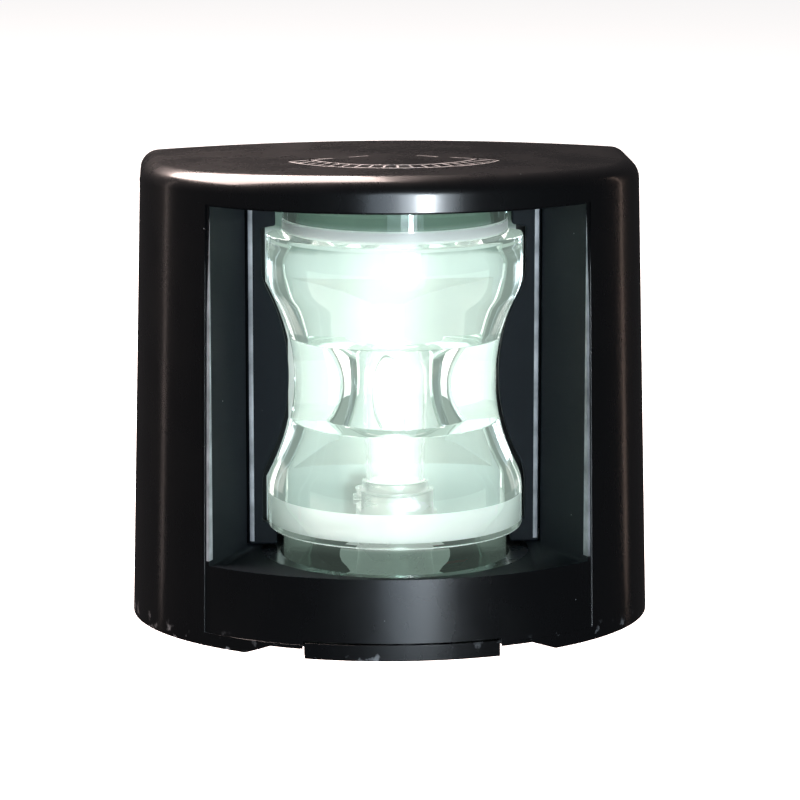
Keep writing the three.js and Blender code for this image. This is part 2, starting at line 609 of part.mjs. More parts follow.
// ---------------------------------------------------------------- materials
const material = (color, roughness, metalness = 0, extra = {}) =>
  new THREE.MeshStandardMaterial({ color, roughness, metalness, ...extra });
const glossBlack = material(0x0e1012, 0.12);
const satinBlack = material(0x15171a, 0.4);
const rubber = material(0x1b1b1c, 0.8);
const foam = material(0x242526, 0.95);
const clear = material(0xdcefe6, 0.03, 0, { transparent: true, opacity: 0.35 });
const white = material(0xeeeeea, 0.35);
const steel = material(0xb9bcbf, 0.3, 1);
const brass = material(0xc9a64f, 0.3, 1);
const nickel = material(0xc7c8c4, 0.25, 1);
const aluminium = material(0xc4c7ca, 0.35, 1);
const phenolic = material(0x3a2a20, 0.5);
const tungsten = material(0xfff2d8, 0.5, 0, { emissive: 0xfff2d8 });
const solder = material(0xa9adb0, 0.4, 1);
const redWire = material(0xa52522, 0.45);
const blackWire = material(0x161616, 0.45);
const polyamide = material(0xd9d6c8, 0.5);

// ---------------------------------------------------------------- assembly
const assembly = new THREE.Group();
assembly.position.z = -CENTRE_Z;

function place(name, body, finish, position, rotation) {
  const mesh = new THREE.Mesh(geometryOf(body), finish);
  mesh.name = name;
  if (position) mesh.position.set(...position);
  if (rotation) mesh.rotation.set(...rotation);
  assembly.add(mesh);
}

place("hood", hood(), glossBlack);
place("sector_screen_left", sectorScreen(-1), glossBlack);
place("sector_screen_right", sectorScreen(1), glossBlack);
place("lens", lens(), clear);
place("lens_seal_upper", ring(21.6, 26.9, 100.2, 102.1), rubber);
place("lens_seal_lower", sealRing(27, 14.3, 1.25), rubber);
place("lens_clamp_ring", clampRing(), satinBlack);
place("rear_reflector", reflector(), white);
place("heat_shield", ring(1.7, 20.8, 101.1, 101.9), aluminium);
place("heat_shield_screw", screw(3, 1.3, 1.3, 4), steel, [0, AXIS_Y, 101]);
clampPoints.forEach(([x, y], i) => {
  place(`clamp_screw_${i + 1}`, screw(2.5, 1.6, 1.25, 6.8), steel, [x, y, 10.1]);
});
for (const [name, side] of [["left", -1], ["right", 1]]) {
  const y = REFLECTOR.front + REFLECTOR.wall + 0.1;
  const at = [side * REFLECTOR_SCREW.x, y, REFLECTOR_SCREW.z];
  place(`reflector_screw_${name}`, screw(2.3, 1.4, 1.0, 7), steel, at, [Math.PI / 2, 0, 0]);
}

place("mounting_base", mountingBase(), satinBlack);
place("rear_seal", rearSeal(), rubber);
place("wall_gasket", wallGasket(), foam);
place("release_latch", releaseLatch(), glossBlack);
place("latch_pin", rod("x", LATCH_PIN_R, -11.6, 11.6, WIDEST_Y - LATCH_DEPTH, LATCH_Z), steel);
place("latch_spring", latchSpring(), steel);

place("socket_shell", socketShell(), nickel);
place("socket_insulator", socketInsulator(), phenolic);
for (const [name, side] of [["left", -1], ["right", 1]]) {
  const at = [side * 13.5, AXIS_Y, 11.4];
  place(`socket_screw_${name}`, screw(2.2, 1.2, 1.15, 6.6), steel, at, [Math.PI, 0, 0]);
  place(`contact_plunger_${name}`, plunger(side), brass);
  place(`plunger_spring_${name}`, plungerSpring(side), steel);
  place(`bulb_contact_${name}`, bulbContact(side), solder);
}
place("bulb_cap", bulbCap(), nickel);
place("bulb_glass", bulbGlass(), clear);
place("bulb_stem", bulbStem(), clear);
place("filament_support_short", shortSupport(), steel);
place("filament_support_long", longSupport(), steel);
place("filament", rod("z", 0.7, 54, 61.8, 0, AXIS_Y, 10), tungsten);

place("terminal_block", terminalBlock(), polyamide);
for (const [name, side] of [["left", -1], ["right", 1]]) {
  const at = [TERMINAL.x + side * TERMINAL.pitch, TERMINAL.front + 1.6, (TERMINAL.low + TERMINAL.high) / 2];
  place(`terminal_screw_${name}`, screw(1.7, 1.2, 1.3, 3.6), brass, at, [-Math.PI / 2, 0, 0]);
}
place("lead_negative", leadNegative(), blackWire);
place("lead_positive", leadPositive(), redWire);
place("cable_gland_body", glandBody(), satinBlack);
place("cable_gland_seal", glandSeal(), rubber);
place("cable_gland_nut", glandNut(), satinBlack);

const navigationLight = new THREE.Group();
navigationLight.add(assembly);
export default navigationLight;
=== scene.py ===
"""Looks of a bulkhead-mounted stern navigation light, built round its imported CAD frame.

Shapes are worked out in millimetres, with z counted from the hood's bottom edge, and dress() turns
each finished piece into metres in the CAD frame. The camera, floor and lights come first, then the
materials, the tools that make solids, and one section for each sub-part.
"""
from functools import partialmethod
from math import acos, cos, pi, radians, sin, sqrt

import bmesh
import bpy
from mathutils import Matrix, Vector


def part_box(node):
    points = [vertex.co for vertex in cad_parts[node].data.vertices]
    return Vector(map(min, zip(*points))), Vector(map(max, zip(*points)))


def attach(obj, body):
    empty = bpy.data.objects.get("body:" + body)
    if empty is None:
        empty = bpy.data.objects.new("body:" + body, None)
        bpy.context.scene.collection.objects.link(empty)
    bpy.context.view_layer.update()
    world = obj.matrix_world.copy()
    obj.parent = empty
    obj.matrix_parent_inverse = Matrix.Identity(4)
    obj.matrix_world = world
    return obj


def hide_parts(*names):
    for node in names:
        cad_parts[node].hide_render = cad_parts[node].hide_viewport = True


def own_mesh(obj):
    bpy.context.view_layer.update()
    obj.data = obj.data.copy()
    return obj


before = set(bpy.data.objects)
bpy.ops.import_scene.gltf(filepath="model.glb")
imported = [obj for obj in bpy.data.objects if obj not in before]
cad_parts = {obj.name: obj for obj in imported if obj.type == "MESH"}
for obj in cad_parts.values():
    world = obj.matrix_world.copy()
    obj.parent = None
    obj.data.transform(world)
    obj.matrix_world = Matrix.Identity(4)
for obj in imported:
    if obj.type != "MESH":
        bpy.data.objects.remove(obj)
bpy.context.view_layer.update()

# ---- sizes taken from the frame
MM = 0.001
HOOD_LOW, HOOD_HIGH = (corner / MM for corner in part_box("hood"))
BOTTOM = HOOD_LOW.z


def span(node):
    """Lowest and highest corner of a CAD node in millimetres, with z from the hood's bottom edge."""
    return [Vector((c.x / MM, c.y / MM, c.z / MM - BOTTOM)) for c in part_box(node)]


LENS_LOW, LENS_HIGH = span("lens")
FILAMENT_LOW, FILAMENT_HIGH = span("filament")
REFLECTOR_LOW, _ = span("rear_reflector")
SIDES = (-1, 1)
NAMED_SIDES = (("left", -1), ("right", 1))

# The hood: FRONT_DEPTH runs from its widest line, at WIDEST_Y, to its front.
HALF_WIDTH = HOOD_HIGH.x
HOOD_REAR_Y = HOOD_HIGH.y
FRONT_DEPTH = 54.0
WIDEST_Y = span("release_latch")[0].y + FRONT_DEPTH
TOP_CROWN = 2.17
HOOD_HEIGHT = HOOD_HIGH.z - BOTTOM - 2.2
DRAFT = 2.75
TOP_FILLET = 4.0
WALL = 2.8
TAB_HALF, TAB_TOP = 21.7, 3.6

# The window: its depths are counted from the widest line, and its walls lean out by SPLAY.
SILL_TOP, SILL, MOUTH_TOP = 18.3, 2.5, 99.0
RECESS_HALF, RECESS_BACK, RECESS_WALL = 33.7, 13.8, 2.4
SCREEN_FRONT = 16.9
SPLAY = 9.3 / 21
MOUTH_EDGE_DEPTHS = (35, 42)

# The lens: a drum on the lamp's axis with a waist, two bands, and a spigot beyond each band.
AXIS_Y = (FILAMENT_LOW.y + FILAMENT_HIGH.y) / 2
LENS_MID = (FILAMENT_LOW.z + FILAMENT_HIGH.z) / 2 - 0.2
BAND_R, WAIST_R, SPIGOT_R = LENS_HIGH.x, 22.8, 25.4
WAIST_ARC, BAND_ARC = 43.0, 11.3
BAND_LOW = 24.2
GLASS = 3.7
BULGE_HALF, BULGE_R, BULGE_EDGE_R = 10.0, 8.6, 11.2
INNER_SLOPE = 13.0
DRUM_OPEN = (19.6, 98.6)
GROUND_RINGS = ((25.0, 31.5), (90.4, 94.2))


# ---- camera, floor and lights
def toward(azimuth, elevation, distance, centre):
    """The point at that distance from centre; azimuth 0 is in front of the light, at -Y."""
    a, e = radians(azimuth), radians(elevation)
    back = Vector((sin(a) * cos(e), -cos(a) * cos(e), sin(e)))
    return centre + back * distance


def look_at(thing, target):
    """Turns a camera or light so that it points at the target."""
    thing.rotation_mode = "QUATERNION"
    thing.rotation_quaternion = (target - thing.location).to_track_quat("-Z", "Y")


def put(name, data):
    """A new object in the scene that holds the data."""
    made = bpy.data.objects.new(name, data)
    bpy.context.scene.collection.objects.link(made)
    return made


def make_camera():
    data = bpy.data.cameras.new("camera")
    data.lens = 168.5
    camera = put("camera", data)
    camera.location = (-0.0478, WIDEST_Y * MM - 0.8547, 0.155)
    look_at(camera, Vector((0.00238, WIDEST_Y * MM, -0.0038)))
    bpy.context.scene.camera = camera


def make_light(name, azimuth, elevation, distance, size, watts, colour, shape):
    """A flat light of that width and height in metres, aimed at the hood's middle."""
    data = bpy.data.lights.new(name, "AREA")
    data.shape = shape
    data.size, data.size_y = size
    data.energy = watts
    data.color = colour
    light = put(name, data)
    centre = Vector((0, WIDEST_Y * MM, 0))
    light.location = toward(azimuth, elevation, distance, centre)
    look_at(light, centre)
    return light


def make_ceiling():
    """A warm pale ceiling over the left half, which the front of the top's rounded edge mirrors."""
    light = make_light("ceiling", 0, 90, 0.7, (0.9, 1.05), 40, (1.0, 0.8, 0.74), "RECTANGLE")
    light.location = (-0.45, 0.42, 0.7)
    light.rotation_quaternion = (1, 0, 0, 0)


def make_lamp():
    """The lit filament's light, which shines through both glasses."""
    data = bpy.data.lights.new("lamp", "POINT")
    data.energy = 0.004
    data.shadow_soft_size = 0.003
    data.color = (1.0, 0.97, 0.92)
    put("lamp", data).location = (0, AXIS_Y * MM, (LENS_MID + BOTTOM) * MM)


def make_world():
    """White where the camera looks straight at it, and a dim room in reflections."""
    world = bpy.data.worlds.new("studio")
    world.use_nodes = True
    bpy.context.scene.world = world
    tree = world.node_tree
    tree.nodes.clear()
    room = add(tree, "ShaderNodeBackground", {"Color": (0.02, 0.019, 0.02, 1), "Strength": 1.0})
    white = add(tree, "ShaderNodeBackground", {"Color": (1, 1, 1, 1), "Strength": 1.0})
    path = add(tree, "ShaderNodeLightPath")
    sockets = {0: path.outputs["Is Camera Ray"], 1: room.outputs[0], 2: white.outputs[0]}
    mixed = add(tree, "ShaderNodeMixShader", sockets)
    add(tree, "ShaderNodeOutputWorld", {"Surface": mixed.outputs[0]})


def make_floor():
    """A pale floor well under the light, kept out of its reflections."""
    bpy.ops.mesh.primitive_plane_add(size=30, location=(0, 0, BOTTOM * MM - 0.06))
    floor = bpy.context.object
    floor.name = "floor"
    look = bpy.data.materials.new("floor")
    look.use_nodes = True
    shader = look.node_tree.nodes["Principled BSDF"]
    shader.inputs["Base Color"].default_value = (0.9, 0.9, 0.9, 1)
    shader.inputs["Roughness"].default_value = 0.9
    shader.inputs["Emission Color"].default_value = (1, 1, 1, 1)
    shader.inputs["Emission Strength"].default_value = 0.85
    floor.data.materials.append(look)
    floor.visible_glossy = False
    floor.visible_diffuse = False


# ---- materials
def add(tree, kind, inputs=None, **settings):
    """A new node with its settings, its sockets set or linked."""
    made = tree.nodes.new(kind)
    for key, value in settings.items():
        setattr(made, key, value)
    for key, value in (inputs or {}).items():
        fill(tree, made.inputs[key], value)
    return made


def fill(tree, socket, value):
    """Links another node's output to the socket, or sets a plain value on it."""
    if isinstance(value, Value):
        value = value.socket
    if isinstance(value, bpy.types.NodeSocket):
        tree.links.new(value, socket)
    else:
        socket.default_value = value


class Value:
    """A number that varies over a surface. Arithmetic with it adds the nodes that work it out."""

    def __init__(self, tree, socket):
        self.tree = tree
        self.socket = socket

    def math(self, operation, *others):
        inputs = dict(enumerate((self, *others)))
        return Value(self.tree, add(self.tree, "ShaderNodeMath", inputs, operation=operation).outputs[0])

    def __rsub__(self, other):
        inputs = {0: other, 1: self}
        return Value(self.tree, add(self.tree, "ShaderNodeMath", inputs, operation="SUBTRACT").outputs[0])

    def __abs__(self):
        return self.math("ABSOLUTE")

    def between(self, low, high):
        """1 where the value lies between two lengths in millimetres, and 0 elsewhere."""
        return (self > low * MM) * (self < high * MM)

    def remap(self, low, high, to_low=0.0, to_high=1.0):
        inputs = {"Value": self, "From Min": low, "From Max": high, "To Min": to_low, "To Max": to_high}
        return Value(self.tree, add(self.tree, "ShaderNodeMapRange", inputs).outputs[0])


OPERATIONS = {"__add__": "ADD", "__sub__": "SUBTRACT", "__mul__": "MULTIPLY", "__lt__": "LESS_THAN",
              "__gt__": "GREATER_THAN", "at_least": "MAXIMUM", "at_most": "MINIMUM"}
for method, operation in OPERATIONS.items():
    setattr(Value, method, partialmethod(Value.math, operation))


class Look:
    """A Principled material with short calls for what varies over a surface."""

    def __init__(self, name, colour, roughness, metallic=0.0, **sockets):
        self.material = bpy.data.materials.new(name)
        self.material.use_nodes = True
        self.tree = self.material.node_tree
        self.shader = self.tree.nodes["Principled BSDF"]
        self.set("Base Color", (*colour, 1))
        self.set("Roughness", roughness)
        self.set("Metallic", metallic)
        for key, value in sockets.items():
            self.set(key.replace("_", " "), value)
        self.place = add(self.tree, "ShaderNodeTexCoord").outputs["Object"]
        parts = add(self.tree, "ShaderNodeSeparateXYZ", {0: self.place}).outputs
        self.x, self.y, self.z = (Value(self.tree, part) for part in parts)

    def set(self, socket, value):
        fill(self.tree, self.shader.inputs[socket], value)

    def glow(self, colour, strength):
        self.set("Emission Color", (*colour, 1))
        self.set("Emission Strength", strength)

    def noise(self, scale, detail=4.0, stretch=(1, 1, 1)):
        vector = self.place
        if stretch != (1, 1, 1):
            vector = add(self.tree, "ShaderNodeMapping", {"Vector": vector, "Scale": stretch}).outputs[0]
        inputs = {"Vector": vector, "Scale": scale, "Detail": detail}
        return Value(self.tree, add(self.tree, "ShaderNodeTexNoise", inputs).outputs["Fac"])

    def mix(self, share, a, b):
        """The colour a where the share is 0, and b where it is 1."""
        node = add(self.tree, "ShaderNodeMix", {0: share}, data_type="RGBA")
        for name, colour in (("A", a), ("B", b)):
            socket = next(s for s in node.inputs if s.name == name and s.type == "RGBA")
            fill(self.tree, socket, (*colour, 1) if isinstance(colour, tuple) else colour)
        return next(s for s in node.outputs if s.type == "RGBA")

    def height(self):
        """Height over the hood's bottom edge, in metres."""
        return self.z - BOTTOM * MM

    def depth(self):
        """Distance in front of the hood's widest line, in metres."""
        return WIDEST_Y * MM - self.y

    def recess(self):
        """1 on the window's walls, sill and screens, which are moulded with a dull grain."""
        depth = self.depth()
        half = (depth - SCREEN_FRONT * MM).at_least(0.0) * SPLAY + (RECESS_HALF + 0.06) * MM
        inside = (abs(self.x) < half) * (depth > (RECESS_BACK - 0.4) * MM)
        return inside * self.height().between(SILL_TOP - 0.05, MOUTH_TOP + 0.05)

    def ground_slopes(self):
        """1 on the lens's inner slopes behind its two bands, which are ground, not polished."""
        across = self.y - AXIS_Y * MM
        radius = (self.x * self.x + across * across).math("SQRT")
        height = self.height()
        low_ring, high_ring = (height.between(*heights) for heights in GROUND_RINGS)
        return (radius < (BAND_R - GLASS + 0.2) * MM) * low_ring.at_least(high_ring)

    def painted_edge_highlights(self):
        """1 along the screens' outer edges and the window's upright edges, where pale colour is laid on as a
        painted highlight.
        """
        side = abs(self.x)
        depth = self.depth()
        upright_part = self.height().between(SILL_TOP + 1, MOUTH_TOP - 0.5)
        on_screen = side.between(RECESS_HALF - 1.7, RECESS_HALF - 0.7)
        on_screen = on_screen * depth.between(RECESS_BACK, SCREEN_FRONT + 0.1)
        wall = (depth - SCREEN_FRONT * MM) * SPLAY + RECESS_HALF * MM
        on_mouth = (side - wall).between(-0.3, 0.8) * depth.between(*MOUTH_EDGE_DEPTHS)
        return upright_part * on_screen.at_least(on_mouth)

    def specks(self, scale, radius, share):
        """Small round dots in that share of the cells of a lattice."""
        dots = add(self.tree, "ShaderNodeTexVoronoi", {"Vector": self.place, "Scale": scale})
        near = Value(self.tree, dots.outputs["Distance"]).remap(radius, radius * 0.4)
        tone = add(self.tree, "ShaderNodeSeparateColor", {0: dots.outputs["Color"]}).outputs[0]
        return near * (Value(self.tree, tone) < share)

    def bump(self, height, distance, strength=1.0):
        inputs = {"Height": height, "Distance": distance, "Strength": strength}
        self.set("Normal", add(self.tree, "ShaderNodeBump", inputs).outputs[0])


def gloss_black():
    """Polished black plastic with handling haze, dust, fine scratches, pale scuffs low down, and painted
    highlights in pale colour along the window's and screens' upright edges.
    """
    polished, dull, pale = (0.006, 0.0068, 0.0078), (0.01, 0.0135, 0.0175), (0.75, 0.78, 0.82)
    look = Look("gloss_black", polished, 0.2, Coat_Roughness=0.15)
    recess = look.recess()
    look.set("Coat Weight", recess.remap(0, 1, 0.9, 0.0))
    look.set("Specular IOR Level", recess.remap(0, 1, 0.5, 0.1))
    scratches = look.noise(420, 3, (1, 1, 0.04))
    shine = (look.noise(70, 6) + scratches * 0.3).remap(0.4, 0.95, 0.22, 0.34)
    look.set("Roughness", shine.at_least(recess * 0.55))
    dust = look.specks(230, 0.045, 0.12)
    scuffs = look.noise(300, 5).remap(0.6, 0.68) * look.height().remap(0.0042, 0.0006)
    # painted highlight: pale streaks on the upright edges stand in for the light's glint on their rounds
    edge_highlight = look.painted_edge_highlights() * look.noise(150, 4).remap(0.3, 0.7, 0.35, 0.95)
    wear_and_painted_highlights = (dust * 0.55).at_least(scuffs * 0.5).at_least(edge_highlight)
    look.set("Base Color", look.mix(wear_and_painted_highlights, look.mix(recess, polished, dull), pale))
    look.bump(look.noise(260, 2), 0.00002, 0.25)
    return look.material


def satin_black():
    """Moulded black plastic with a fine spark-eroded grain."""
    look = Look("satin_black", (0.014, 0.0145, 0.0155), 0.42)
    look.set("Roughness", look.noise(160, 5).remap(0.3, 0.7, 0.36, 0.52))
    look.set("Base Color", look.mix(look.noise(45, 4), (0.011, 0.0115, 0.0125), (0.019, 0.0195, 0.02)))
    look.bump(look.noise(3200, 2), 0.00005, 0.5)
    return look.material


def rubber(name, colour, grain, depth):
    """Black rubber or foam with a grain of that scale and depth, and paler patches."""
    look = Look(name, colour, 0.75)
    pale = tuple(min(1, c * 1.7) for c in colour)
    look.set("Base Color", look.mix(look.noise(grain / 8, 5), colour, pale))
    look.set("Roughness", look.noise(grain / 3, 3).remap(0.3, 0.7, 0.66, 0.86))
    look.bump(look.noise(grain, 2), depth, 0.8)
    return look.material


def clear_glass(name, tint, ripple):
    """Clear glass, slightly rippled, that lets the lamp's light through it without a shadow."""
    look = Look(name, tint, 0.0, Transmission_Weight=1.0, IOR=1.47)
    look.bump(look.noise(ripple, 1), 0.00004, 0.12)
    tree = look.tree
    through = add(tree, "ShaderNodeBsdfTransparent", {"Color": (*tint, 1)})
    path = add(tree, "ShaderNodeLightPath")
    output = next(n for n in tree.nodes if n.type == "OUTPUT_MATERIAL")
    sockets = {0: path.outputs["Is Shadow Ray"], 1: look.shader.outputs[0], 2: through.outputs[0]}
    tree.links.new(add(tree, "ShaderNodeMixShader", sockets).outputs[0], output.inputs["Surface"])
    return look


def lens_glass():
    """Pale green glass with a painted glow standing in for the lamp's light in its haze, ground slopes, and
    ends tinted darker as painted shade.
    """
    tint = (0.9, 0.985, 0.945)
    look = clear_glass("lens_glass", tint, 90)
    height = look.height()
    # painted light: the glass emits a pale green glow for the lamp's light scattered in it, fading towards
    # both ends
    lit_low, lit_high = height.remap(0.021, 0.030, 0.25, 1), height.remap(0.0945, 0.088, 0.25, 1)
    look.glow((0.78, 1.0, 0.88), lit_low * lit_high * 0.1)
    ground = look.ground_slopes()
    look.set("Transmission Weight", ground.remap(0, 1, 1.0, 0.25))
    look.set("Roughness", ground * 0.35)
    # painted shade: the glass held in the seals is tinted darker green
    in_seals = height.remap(0.0236, 0.0226).at_least(height.remap(0.0945, 0.0955))
    clear = look.mix(in_seals, tint, (0.42, 0.56, 0.49))
    look.set("Base Color", look.mix(ground, clear, (0.9, 0.93, 0.92)))
    return look.material


def bulb_glass():
    look = clear_glass("bulb_glass", (0.98, 0.99, 0.99), 200)
    look.glow((1, 0.98, 0.94), 0.1)
    return look.material


def metal(name, colour, roughness, stretch=(1, 1, 1), glow=0.0):
    """Machined or drawn metal: fine lines across the stretch, dull patches, slight colour change, and a
    painted glow of the given strength.
    """
    look = Look(name, colour, roughness, 1.0)
    # painted light: the glow makes the metal look lit by the lamp
    look.glow((0.95, 1.0, 0.98), glow)
    lines = look.noise(900, 3, stretch)
    patches = look.noise(140, 5)
    look.set("Base Color", look.mix(patches.remap(0.35, 0.7), colour, tuple(c * 0.72 for c in colour)))
    look.set("Roughness", (lines + patches).remap(0.7, 1.3, roughness * 0.8, roughness * 1.5))
    look.bump(lines, 0.00001, 0.4)
    return look.material


def plastic(name, colour, roughness, mottle):
    """Moulded plastic with darker mottling of that scale."""
    look = Look(name, colour, roughness)
    darker = tuple(c * 0.75 for c in colour)
    look.set("Base Color", look.mix(look.noise(mottle, 5).remap(0.3, 0.75), colour, darker))
    look.set("Roughness", look.noise(mottle * 3, 4).remap(0.3, 0.7, roughness * 0.85, roughness * 1.2))
    look.bump(look.noise(2400, 2), 0.00002, 0.5)
    return look.material


def reflector_white():
    """White moulding, full white behind the lamp and greyed towards the sides by painted shade, with a
    painted dark green shade over the lamp, and black outside the lens's outline.
    """
    full_white, black, top_shade_green = (0.84, 0.84, 0.82), (0.006, 0.007, 0.008), (0.09, 0.14, 0.115)
    look = Look("reflector_white", full_white, 0.4)
    height = look.height()
    from_waist = height + 1.7 * MM - LENS_MID * MM
    flare = from_waist * from_waist * (1 / (84 * MM))
    half = (flare + (WAIST_R - 0.3) * MM).at_most((BAND_R - 0.3) * MM)
    masked = (abs(look.x + 0.4 * MM) > half) * (look.y < (REFLECTOR_LOW.y + 0.6) * MM)
    # painted shade: a dark green band over the top of the plate
    painted_top_shade = (height + look.noise(120, 4) * (3 * MM)).remap(0.0905, 0.0925)
    # painted shade: grey towards the sides, which leaves a full white column behind the lamp as painted
    # light
    painted_side_shade = look.mix(look.noise(60, 5).remap(0.3, 0.75), (0.6, 0.62, 0.61), (0.5, 0.52, 0.51))
    painted_side_shade = look.mix(abs(look.x).remap(0.004, 0.013), full_white, painted_side_shade)
    look.set("Base Color", look.mix(masked, look.mix(painted_top_shade, painted_side_shade, top_shade_green), black))
    look.set("Specular IOR Level", masked.remap(0, 1, 0.5, 0.1))
    look.bump(look.noise(2400, 2), 0.00002, 0.5)
    return look.material


def glowing(name, colour, strength):
    look = Look(name, colour, 0.5)
    look.glow(colour, strength)
    return look.material


LOOKS = {
    "gloss_black": gloss_black(),
    "satin_black": satin_black(),
    "seal_rubber": rubber("seal_rubber", (0.012, 0.012, 0.0125), 1500, 0.00004),
    "gasket_foam": rubber("gasket_foam", (0.02, 0.02, 0.021), 2600, 0.00015),
    "lens_glass": lens_glass(),
    "bulb_glass": bulb_glass(),
    "reflector_white": reflector_white(),
    "steel": metal("steel", (0.56, 0.56, 0.57), 0.28, (1, 1, 0.1)),
    "brass": metal("brass", (0.7, 0.5, 0.2), 0.3, (1, 1, 0.1)),
    # painted light: nickel glows, so the bulb's cap and the socket sleeve look lit by the lamp
    "nickel": metal("nickel", (0.62, 0.61, 0.59), 0.26, (0.1, 0.1, 1), 0.3),
    "aluminium": metal("aluminium", (0.68, 0.69, 0.7), 0.35, (1, 0.05, 1)),
    "phenolic": plastic("phenolic", (0.045, 0.022, 0.012), 0.38, 300),
    "solder": metal("solder", (0.55, 0.56, 0.58), 0.4),
    "filament_lit": glowing("filament_lit", (1.0, 0.93, 0.8), 20),
    "polyamide": plastic("polyamide", (0.66, 0.63, 0.53), 0.45, 150),
    "wire_red": plastic("wire_red", (0.42, 0.014, 0.01), 0.35, 200),
    "wire_black": plastic("wire_black", (0.01, 0.01, 0.011), 0.35, 200),
}


# ---- tools that make solids
def solid(points, faces):
    """A closed mesh in millimetres, its faces turned outwards."""
    mesh = bpy.data.meshes.new("solid")
    mesh.from_pydata([tuple(p) for p in points], [], faces)
    work = bmesh.new()
    work.from_mesh(mesh)
    bmesh.ops.remove_doubles(work, verts=work.verts, dist=1e-4)
    bmesh.ops.recalc_face_normals(work, faces=work.faces)
    work.to_mesh(mesh)
    work.free()
    return put("solid", mesh)


def bake(piece):
    """Makes the piece's modifiers part of its mesh."""
    graph = bpy.context.evaluated_depsgraph_get()
    mesh = bpy.data.meshes.new_from_object(piece.evaluated_get(graph))
    old = piece.data
    piece.modifiers.clear()
    piece.data = mesh
    bpy.data.meshes.remove(old)
    return piece


def combine(piece, operation, tools):
    """Applies the tools to the piece one by one, then deletes them."""
    for tool in tools:
        modifier = piece.modifiers.new("boolean", "BOOLEAN")
        modifier.operation = operation
        modifier.object = tool
        modifier.solver = "EXACT"
        tool.hide_render = True
    bake(piece)
    for tool in tools:
        bpy.data.objects.remove(tool)
    return piece


def join(piece, *tools):
    return combine(piece, "UNION", tools)


def cut(piece, *tools):
    return combine(piece, "DIFFERENCE", tools)


def common(piece, *tools):
    return combine(piece, "INTERSECT", tools)


def extruded(points, low, high, place):
    """A polygon drawn in two coordinates, extruded along the third; place() orders the three."""
    n = len(points)
    corners = [place(u, v, w) for w in (low, high) for u, v in points]
    return solid(corners, [tuple(range(n)), tuple(range(n, 2 * n))] + strips(2, n))


def prism(points, low, high):
    """Points in (x, y), extruded along Z."""
    return extruded(points, low, high, lambda x, y, z: (x, y, z))


def upright(points, low, high):
    """Points in (x, z), extruded along Y."""
    return extruded(points, low, high, lambda x, z, y: (x, y, z))


def sideways(points, low, high):
    """Points in (y, z), extruded along X."""
    return extruded(points, low, high, lambda y, z, x: (x, y, z))


def box(x, y, z):
    """A block between two values of each coordinate."""
    return prism([(x[0], y[0]), (x[1], y[0]), (x[1], y[1]), (x[0], y[1])], *z)


def circle(radius, a, b, count):
    turns = [2 * pi * i / count for i in range(count)]
    return [(a + radius * cos(t), b + radius * sin(t)) for t in turns]


def rod(axis, radius, low, high, a, b, count=32):
    """A cylinder along an axis, centred on the other two coordinates."""
    make = {"x": sideways, "y": upright, "z": prism}[axis]
    return make(circle(radius, a, b, count), low, high)


def disc(radius, low, high, count=96):
    """An upright cylinder on the lamp's axis."""
    return rod("z", radius, low, high, 0, AXIS_Y, count)


def turned(profile, x=0.0, y=AXIS_Y, count=96):
    """A closed profile of (radius, z) turned about a vertical axis."""
    n = len(profile)
    points = [(x + r * c, y + r * s, z) for c, s in circle(1, 0, 0, count) for r, z in profile]
    faces = []
    for i in range(count):
        j = (i + 1) % count
        for k in range(n):
            m = (k + 1) % n
            faces.append((i * n + k, j * n + k, j * n + m, i * n + m))
    return solid(points, faces)


def steps(low, high, count):
    """Both ends and the points that divide the way between them into count equal parts."""
    return [low + (high - low) * i / count for i in range(count + 1)]


def span_of(side, a, b):
    """The interval from a to b, mirrored where the side is -1."""
    return sorted((side * a, side * b))


def strips(rings, n):
    """Faces between each ring of n points and the next."""
    return [(r * n + i, r * n + (i + 1) % n, (r + 1) * n + (i + 1) % n, (r + 1) * n + i)
            for r in range(rings - 1) for i in range(n)]


def loft(rings):
    """A solid through rings of equal count, closed by strips between points of equal x."""
    n = len(rings[0])
    faces = strips(len(rings), n)
    for base in (0, (len(rings) - 1) * n):
        faces += [(base + i, base + i + 1, base + n - 2 - i, base + n - 1 - i) for i in range(n // 2 - 1)]
    return solid([p for ring in rings for p in ring], faces)


def dress(piece, name, body, slot, nodes, bevel=0.3, segments=3, weights=None, crease=32):
    """Names a finished solid, rounds its edges, smooths it, ties it to its body and hides the CAD nodes it
    replaces.
    """
    piece.name = name
    piece.data.name = name
    piece.data.transform(Matrix.Translation((0, 0, BOTTOM * MM)) @ Matrix.Scale(MM, 4))
    piece.data.materials.clear()
    piece.data.materials.append(LOOKS[slot])
    piece.data.shade_smooth()
    if bevel:
        edge = piece.modifiers.new("edges", "BEVEL")
        edge.width = bevel * MM
        edge.segments = segments
        edge.limit_method = "WEIGHT" if weights else "ANGLE"
        edge.angle_limit = radians(crease)
        edge.miter_outer = "MITER_ARC"
        if weights:
            weigh_edges(piece, weights, crease)
        piece.modifiers.new("flats", "WEIGHTED_NORMAL").keep_sharp = True
    else:
        piece.data.set_sharp_from_angle(angle=radians(crease))
    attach(piece, body)
    if nodes:
        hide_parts(*nodes)
    return piece


def weigh_edges(piece, weights, crease):
    """Gives each sharp edge the share of the bevel that weights() says for its middle and direction."""
    work = bmesh.new()
    work.from_mesh(piece.data)
    layer = work.edges.layers.float.new("bevel_weight_edge")
    for edge in work.edges:
        if len(edge.link_faces) == 2 and edge.calc_face_angle(0) > radians(crease):
            a, b = (v.co / MM for v in edge.verts)
            middle = (a + b) / 2 - Vector((0, 0, BOTTOM))
            edge[layer] = weights(middle, (b - a).normalized(), edge.is_convex)
    work.to_mesh(piece.data)
    work.free()


# ---- the hood
def half_width(z):
    """Half the hood's width at a height: its sides lean in by DRAFT over its height."""
    return HALF_WIDTH - DRAFT * z / HOOD_HEIGHT


